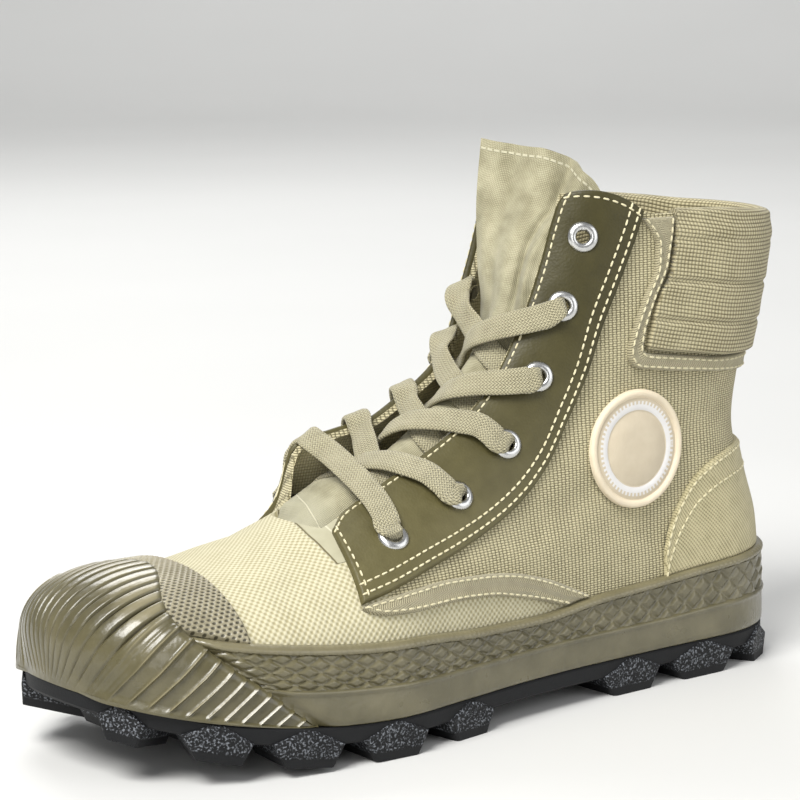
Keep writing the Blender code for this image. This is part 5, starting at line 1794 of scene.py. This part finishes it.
# Straps from the inner eyelets, which go under those, from the second eyelet up
LACE_UNDER = [
    [
        (-10.2, 25.4, 88.5), (-13.6, 20.8, 97.4), (-15.3, 16.5, 98.4), (-16.9, 12.0, 94.6),
        (-20.3, 5.2, 90.6), (-22.8, 0.2, 87.2), (-26.2, -8.5, 83.0), (-26.0, -14.0, 78.4),
        (-24.0, -19.5, 74.0),
    ],
    [
        (11.0, 25.0, 99.5), (6.6, 20.4, 106.0), (4.4, 15.8, 106.0), (2.0, 10.5, 101.4),
        (0.0, 4.5, 98.6), (-3.0, -2.1, 96.6), (-5.0, -8.4, 94.0), (-4.0, -13.0, 90.4),
        (-3.0, -19.0, 86.0),
    ],
    [
        (29.4, 25.6, 117.0), (28.0, 22.0, 122.5), (22.6, 17.6, 121.4), (17.6, 12.5, 116.6),
        (15.0, 6.5, 112.4), (12.4, -1.0, 109.4), (11.5, -8.4, 105.4), (13.2, -14.0, 101.6),
        (15.0, -19.5, 97.0),
    ],
    [
        (39.0, 26.4, 136.5), (36.0, 23.0, 139.0), (29.4, 17.8, 135.4), (27.6, 12.5, 130.4),
        (26.6, 6.0, 126.2), (24.4, -1.0, 122.8), (22.8, -8.0, 119.4), (24.0, -13.0, 115.6),
        (26.0, -19.0, 112.0),
    ],
]
# Direction a strap faces where it goes over the inner side's edge, outside it and on it
OVER_EDGE = [(0.1, 0.9, 0.42), (-0.2, 0.45, 0.87), (-0.35, -0.1, 0.93)]
# Section of the lace, as shares of its half width and half thickness
LACE_SECTION = [
    (-1, 0), (-0.95, 0.62), (-0.8, 0.95), (-0.4, 1.0), (0, 0.9), (0.4, 1.0), (0.8, 0.95), (0.95, 0.62),
    (1, 0), (0.95, -0.62), (0.8, -0.95), (0.4, -1), (0, -1), (-0.4, -1), (-0.8, -0.95), (-0.95, -0.62),
    (-1, 0),
]
LACE_STEP = 0.9
# Width of a strap's end, where it goes under another, as a share
STRAP_END_WIDE = 0.75
# The lace in an eyelet, from under the leather up: height over the eyelet's seat, width as a share
DIVE_ROWS = [(-5.2, 0.6), (-2.6, 0.45), (-0.6, 0.5), (1.2, 0.66)]
# Share of its section that the lace keeps there
DIVE_SECTION = 0.75
# How many of the bar's last places, which go over the inner side's edge, keep one width direction
BAR_STEADY = 4


def strap(places, side):
    """Stations of the lace over its places: middle, width direction, width and thickness as shares.

    The lace faces as the last does below it, and as OVER_EDGE says at the inner side's edge.
    """
    line = np.array(places, float)
    facing = outward(line)
    if side == MEDIAL:
        facing[: len(OVER_EDGE)] = OVER_EDGE
    along = np.gradient(line, axis=0)
    wide = np.cross(along, facing)
    wide /= np.linalg.norm(wide, axis=1, keepdims=True)
    full = np.ones(len(line))
    full[-1] = STRAP_END_WIDE
    return np.column_stack((line, wide, full, np.ones(len(line))))


def dive(side, row, wide):
    """Stations of the lace up through an eyelet, drawn together, from under the leather."""
    spot, facing = eyelet_seat(side, row)
    heights, bunch = np.array(DIVE_ROWS).T
    line = spot + heights[:, None] * facing
    return np.column_stack((line, np.tile(wide, (len(bunch), 1)), bunch, DIVE_SECTION / bunch))


def lace_stations():
    """Stations of the whole lace, from one hidden end at the top to the other.

    They go down one way of crossings, along the bar, and up the other way.
    """
    bar = strap(LACE_BAR, LATERAL)
    bar[-BAR_STEADY:, 3:6] = bar[-BAR_STEADY - 1, 3:6]
    lower = dive(LATERAL, EYELET_ROWS[0], bar[0, 3:6])
    upper = dive(MEDIAL, EYELET_ROWS[0], bar[-1, 3:6])[::-1]
    middle = np.concatenate((lower, bar, upper))
    halves = []
    for side in (MEDIAL, LATERAL):
        stations = []
        for number in range(1, LACED):
            run = strap((LACE_OVER if side == LATERAL else LACE_UNDER)[number - 1], side)
            hole = dive(side, EYELET_ROWS[number], run[0, 3:6])
            whole = np.concatenate((hole, run))[::-1]
            whole[:, 3:6] *= -1
            stations.append(whole)
            side = -side
        halves.append(np.concatenate(stations))
    first, second = halves
    first = first[::-1].copy()
    first[:, 3:6] *= -1
    return np.concatenate((first, middle, second))


def through(points, step):
    """A smooth curve through stations, as rows a step apart: a cubic from each station to the next."""
    gap = np.linalg.norm(np.diff(points[:, :3], axis=0), axis=1)
    run = np.concatenate(([0.0], np.cumsum(np.sqrt(gap * gap + 1e-9))))
    slope = np.gradient(points, run, axis=0)
    at = np.arange(0, run[-1], step)
    i = np.clip(np.searchsorted(run, at, side="right") - 1, 0, len(run) - 2)
    span = (run[i + 1] - run[i])[:, None]
    t = ((at - run[i])[:, None]) / span
    ends = points[i] * (1 + 2 * t) * (1 - t) ** 2 + points[i + 1] * t * t * (3 - 2 * t)
    return ends + (slope[i] * t * (1 - t) ** 2 + slope[i + 1] * t * t * (t - 1)) * span, at


def make_lace(finish):
    """A flat braid: its section carried along the whole lacing, drawn together in the eyelets."""
    rows, run = through(lace_stations(), LACE_STEP)
    line, wide, width, thick = rows[:, :3], rows[:, 3:6], rows[:, 6:7], rows[:, 7:8]
    along = np.gradient(line, axis=0)
    along /= np.linalg.norm(along, axis=1, keepdims=True)
    wide = wide - (wide * along).sum(1, keepdims=True) * along
    wide /= np.linalg.norm(wide, axis=1, keepdims=True)
    high = np.cross(wide, along)
    section = np.array(LACE_SECTION, float)
    out = section[:, 0, None] * (width * LACE_WIDE / 2).T
    up = section[:, 1, None] * (thick * LACE_THICK / 2).T
    grid = line[None] + wide[None] * out[..., None] + high[None] * up[..., None]
    across = np.broadcast_to(section[:, :1] * LACE_WIDE / 2, out.shape)
    marks = np.stack((np.broadcast_to(run, out.shape), across, 0 * out), -1)
    half = len(section) // 2
    ends = [np.stack((grid[: half + 1, k], grid[half:, k][::-1])) for k in (0, -1)]
    patches = [(grid, marks, 0)] + [(end, plain_marks(end), 0) for end in ends]
    nodes = ["lace_bar"] + [f"lace_cross_{number}" for number in range(1, LACED)]
    make_piece("braided_lace", patches, [finish], nodes)


# A stitch, with its rings and their sides, and how far before and behind it its direction is read
STITCH_PITCH = 3.0
STITCH_LONG = 2.3
STITCH_WIDE = 0.75
STITCH_HIGH = 0.45
STITCH_RINGS = 6
STITCH_SIDES = 6
STITCH_REACH = 0.3
# Distance of the seams to the edges of what they hold, and how many points of an end's seam its corners take
EYESTAY_SEAM = 2.6
EYESTAY_INNER_SEAM = 6.0
EYESTAY_CORNER = 4
SIDE_TAPE_SEAM = 1.3
COLLAR_TAPE_SEAM = 1.2
COUNTER_SEAMS = (1.6, 9.5)


def stitch_row(path, lift):
    """Stitches along a line on the last: small round-ended bodies, each a grid of rings along the line."""
    path = np.asarray(path)
    total = np.linalg.norm(np.diff(path, axis=0), axis=1).sum()
    count = max(int(total / STITCH_PITCH), 2)
    middle = (np.arange(count) + 0.5) / count
    spots = onto_last(along_path(path, middle))
    reach = STITCH_REACH / total
    behind, before = (along_path(path, np.clip(middle + way, 0, 1)) for way in (-reach, reach))
    ahead = before - behind
    facing = outward(spots)
    ahead -= (ahead * facing).sum(1, keepdims=True) * facing
    ahead /= np.linalg.norm(ahead, axis=1, keepdims=True)
    beside = np.cross(facing, ahead)
    ends = np.linspace(0, math.pi, STITCH_RINGS)
    turns = np.linspace(0, 2 * math.pi, STITCH_SIDES + 1)
    along = -np.cos(ends)[:, None] * STITCH_LONG / 2 + 0 * turns
    fat = np.sin(ends)[:, None] ** 0.5
    out, up = fat * np.cos(turns) * STITCH_WIDE / 2, fat * np.sin(turns) * STITCH_HIGH
    start = spots + facing * lift
    grid = start[:, None, None] + ahead[:, None, None] * along[..., None]
    return stand(grid + beside[:, None, None] * out[..., None] + facing[:, None, None] * up[..., None])


def eyestay_seams(grid):
    """Stitches along the four edges of an eyestay, and a second row inside its outer edge."""
    back = grid[:, ::-1]
    paths = [inset(grid, EYESTAY_SEAM), inset(back, EYESTAY_SEAM), inset(back, EYESTAY_INNER_SEAM)]
    for part in (grid, grid[::-1]):
        paths.append(inset(turned(part), EYESTAY_SEAM)[EYESTAY_CORNER:-EYESTAY_CORNER])
    return [stitch_row(path, BAND_GAP + LEATHER) for path in paths]


def tape_seams(grid, far, lift):
    """Stitches along both edges of a tape."""
    return [stitch_row(inset(turned(part), far), lift) for part in (grid, grid[::-1])]


def make_stitches(name, rows, finish):
    """Rows of stitches as one joined mesh."""
    patches = [(grid, plain_marks(grid), 0) for row in rows for grid in row]
    make_piece(name, patches, [finish], [])


# Floor, in metres: direction away from the camera, its near and far end, the bend into the backdrop, the
# backdrop's top and half its width
FLOOR_AWAY = (0.6157, 0.788)
FLOOR_NEAR = -4.0
FLOOR_FAR = 2.6
FLOOR_BEND = 1.2
FLOOR_TOP = 3.5
FLOOR_HALF = 5.0


def make_floor():
    """A pale floor that bends up, by a quarter circle, into a backdrop far behind the boot."""
    away = np.array(FLOOR_AWAY)
    beside = away[::-1] * (1, -1)
    flat = np.linspace(FLOOR_NEAR, FLOOR_FAR, 12)
    bend = np.linspace(0, math.pi / 2, 16)[1:]
    reach = np.concatenate((flat, FLOOR_FAR + FLOOR_BEND * np.sin(bend), [FLOOR_FAR + FLOOR_BEND]))
    high = np.concatenate((0 * flat, FLOOR_BEND * (1 - np.cos(bend)), [FLOOR_TOP]))
    wide = np.linspace(-FLOOR_HALF, FLOOR_HALF, 8)
    ground = reach[:, None, None] * away + wide[None, :, None] * beside
    points = np.concatenate((ground, np.broadcast_to(high[:, None, None], (*ground.shape[:2], 1))), -1)
    rows, columns = points.shape[:2]
    index = np.arange(rows * columns).reshape(rows, columns)
    quads = np.stack((index[:-1, :-1], index[1:, :-1], index[1:, 1:], index[:-1, 1:]), -1).reshape(-1, 4)
    mesh = bpy.data.meshes.new("floor")
    mesh.from_pydata(points.reshape(-1, 3), [], quads)
    mesh.shade_smooth()
    made = Finish("floor", 0.7)
    made.colour(made.blend(made.noise(300, 2), paint(206, 206, 204), paint(212, 212, 210)))
    mesh.materials.append(made.material)
    floor = bpy.data.objects.new("floor", mesh)
    bpy.context.scene.collection.objects.link(floor)


# What lights are turned to, in metres
BOOT = (0.0, 0.0, 0.08)
BACKDROP = (2.4, 3.0, 0.9)
# Lights: name, direction from what it lights, distance and size in metres, power in watts, colour, aim
LIGHTS = [
    ("key", (-0.72, -0.25, 0.95), 1.6, 0.8, 36, (1.0, 0.99, 0.97), BOOT),
    ("fill", (0.5, -0.9, 0.4), 2.0, 1.6, 13, (0.97, 0.98, 1.0), BOOT),
    ("front", (-0.8, -0.7, 0.3), 2.2, 0.7, 5, (1.0, 1.0, 1.0), BOOT),
    ("back", (0.4, 0.9, 0.8), 1.9, 1.0, 16, (1.0, 1.0, 1.0), BOOT),
    ("wall", (-0.45, -0.56, 0.7), 1.9, 2.0, 26, (1.0, 1.0, 1.0), BACKDROP),
]
# Strength of the even sky
SKY = 0.45


def make_lights():
    """Area lights, each at its distance from its aim and turned to it, and an even pale sky."""
    for name, way, far, size, power, colour, aim in LIGHTS:
        lamp = bpy.data.lights.new(name, "AREA")
        lamp.energy = power
        lamp.size = size
        lamp.color = colour
        made = bpy.data.objects.new(name, lamp)
        direction = Vector(way).normalized()
        made.location = Vector(aim) + direction * far
        made.rotation_euler = direction.to_track_quat("Z", "Y").to_euler()
        bpy.context.scene.collection.objects.link(made)
    world = bpy.data.worlds.new("studio")
    world.use_nodes = True
    world.node_tree.nodes["Background"].inputs["Color"].default_value = paint(235, 236, 238)
    world.node_tree.nodes["Background"].inputs["Strength"].default_value = SKY
    bpy.context.scene.world = world
    bpy.context.scene.view_settings.view_transform = "Standard"


# Camera: angle round the boot from its outer side to its toe, angle up, distance of the aim on the last
CAMERA_ROUND = -38.0
CAMERA_UP = 11.3
CAMERA_FAR = 1000.0
CAMERA_AIM = (0.0, 0.0, 80.0)
CAMERA_LENS = 132.2
CAMERA_SHIFT = (-0.0275, 0.0875)


def make_camera():
    """The camera at its two angles and distance from the aim, turned to it, with a shifted lens."""
    turn, up = math.radians(CAMERA_ROUND), math.radians(CAMERA_UP)
    back_way = np.array((math.sin(turn) * math.cos(up), -math.cos(turn) * math.cos(up), math.sin(up)))
    lens = bpy.data.cameras.new("camera")
    lens.lens = CAMERA_LENS
    lens.shift_x, lens.shift_y = CAMERA_SHIFT
    made = bpy.data.objects.new("camera", lens)
    made.location = Vector(place(np.array(CAMERA_AIM) + CAMERA_FAR * back_way))
    made.rotation_euler = Vector(back_way).to_track_quat("Z", "Y").to_euler()
    bpy.context.scene.collection.objects.link(made)
    bpy.context.scene.camera = made


def main():
    """Makes the finishes, the pieces, the floor, the lights and the camera."""
    canvas = canvas_finish()
    lining = cloth_finish("lining", 1.1, paint(142, 133, 95), paint(204, 195, 155))
    leather = leather_finish()
    tape = tape_finish()
    cream = thread_finish("cream_thread", paint(196, 186, 146), paint(232, 224, 190))
    khaki = thread_finish("khaki_thread", paint(184, 176, 140), paint(222, 214, 180))
    rubber = rubber_finish("rubber", paint(82, 77, 52), paint(104, 98, 72))
    dull = rubber_finish("dull_rubber", paint(126, 119, 95), paint(150, 143, 119), 0.55)
    pins = make_pins()
    make_upper([canvas, lining], pins)
    make_tongue(tongue_finish())
    make_outsole(outsole_finish())
    make_insole(cloth_finish("insole", 1.4, paint(96, 90, 62), paint(150, 142, 108)))
    make_toe_cap(rubber_finish("cap_rubber", paint(73, 68, 43), paint(93, 87, 60)))
    make_toe_patch(dull)
    make_bands(rubber)
    leather_rows, cloth_rows = [], []
    for side, word in ((LATERAL, "lateral"), (MEDIAL, "medial")):
        leather_rows += eyestay_seams(make_eyestay(word, side, leather, pins))
        cloth_rows += tape_seams(make_side_tape(word, side, tape), SIDE_TAPE_SEAM, BAND_GAP + CLOTH)
    bpy.data.objects.remove(pins)
    make_eyelets(metal_finish())
    counter = make_heel_counter(twill_finish("counter", 1.5, paint(112, 104, 68), paint(190, 181, 144)))
    cloth_rows += [stitch_row(inset(turned(counter[::-1]), far), GAP + CLOTH) for far in COUNTER_SEAMS]
    make_collar_cuff(webbing_finish())
    cloth_rows += tape_seams(make_collar_tape(tape), COLLAR_TAPE_SEAM, COLLAR_TAPE_FACE)
    make_back_strip(cloth_finish("strip", 1.0, paint(66, 60, 34), paint(98, 90, 56)))
    make_ankle_badge(badge_finish())
    make_lace(lace_finish())
    make_stitches("leather_stitches", leather_rows, cream)
    make_stitches("cloth_stitches", cloth_rows, khaki)
    make_floor()
    make_lights()
    make_camera()


main()
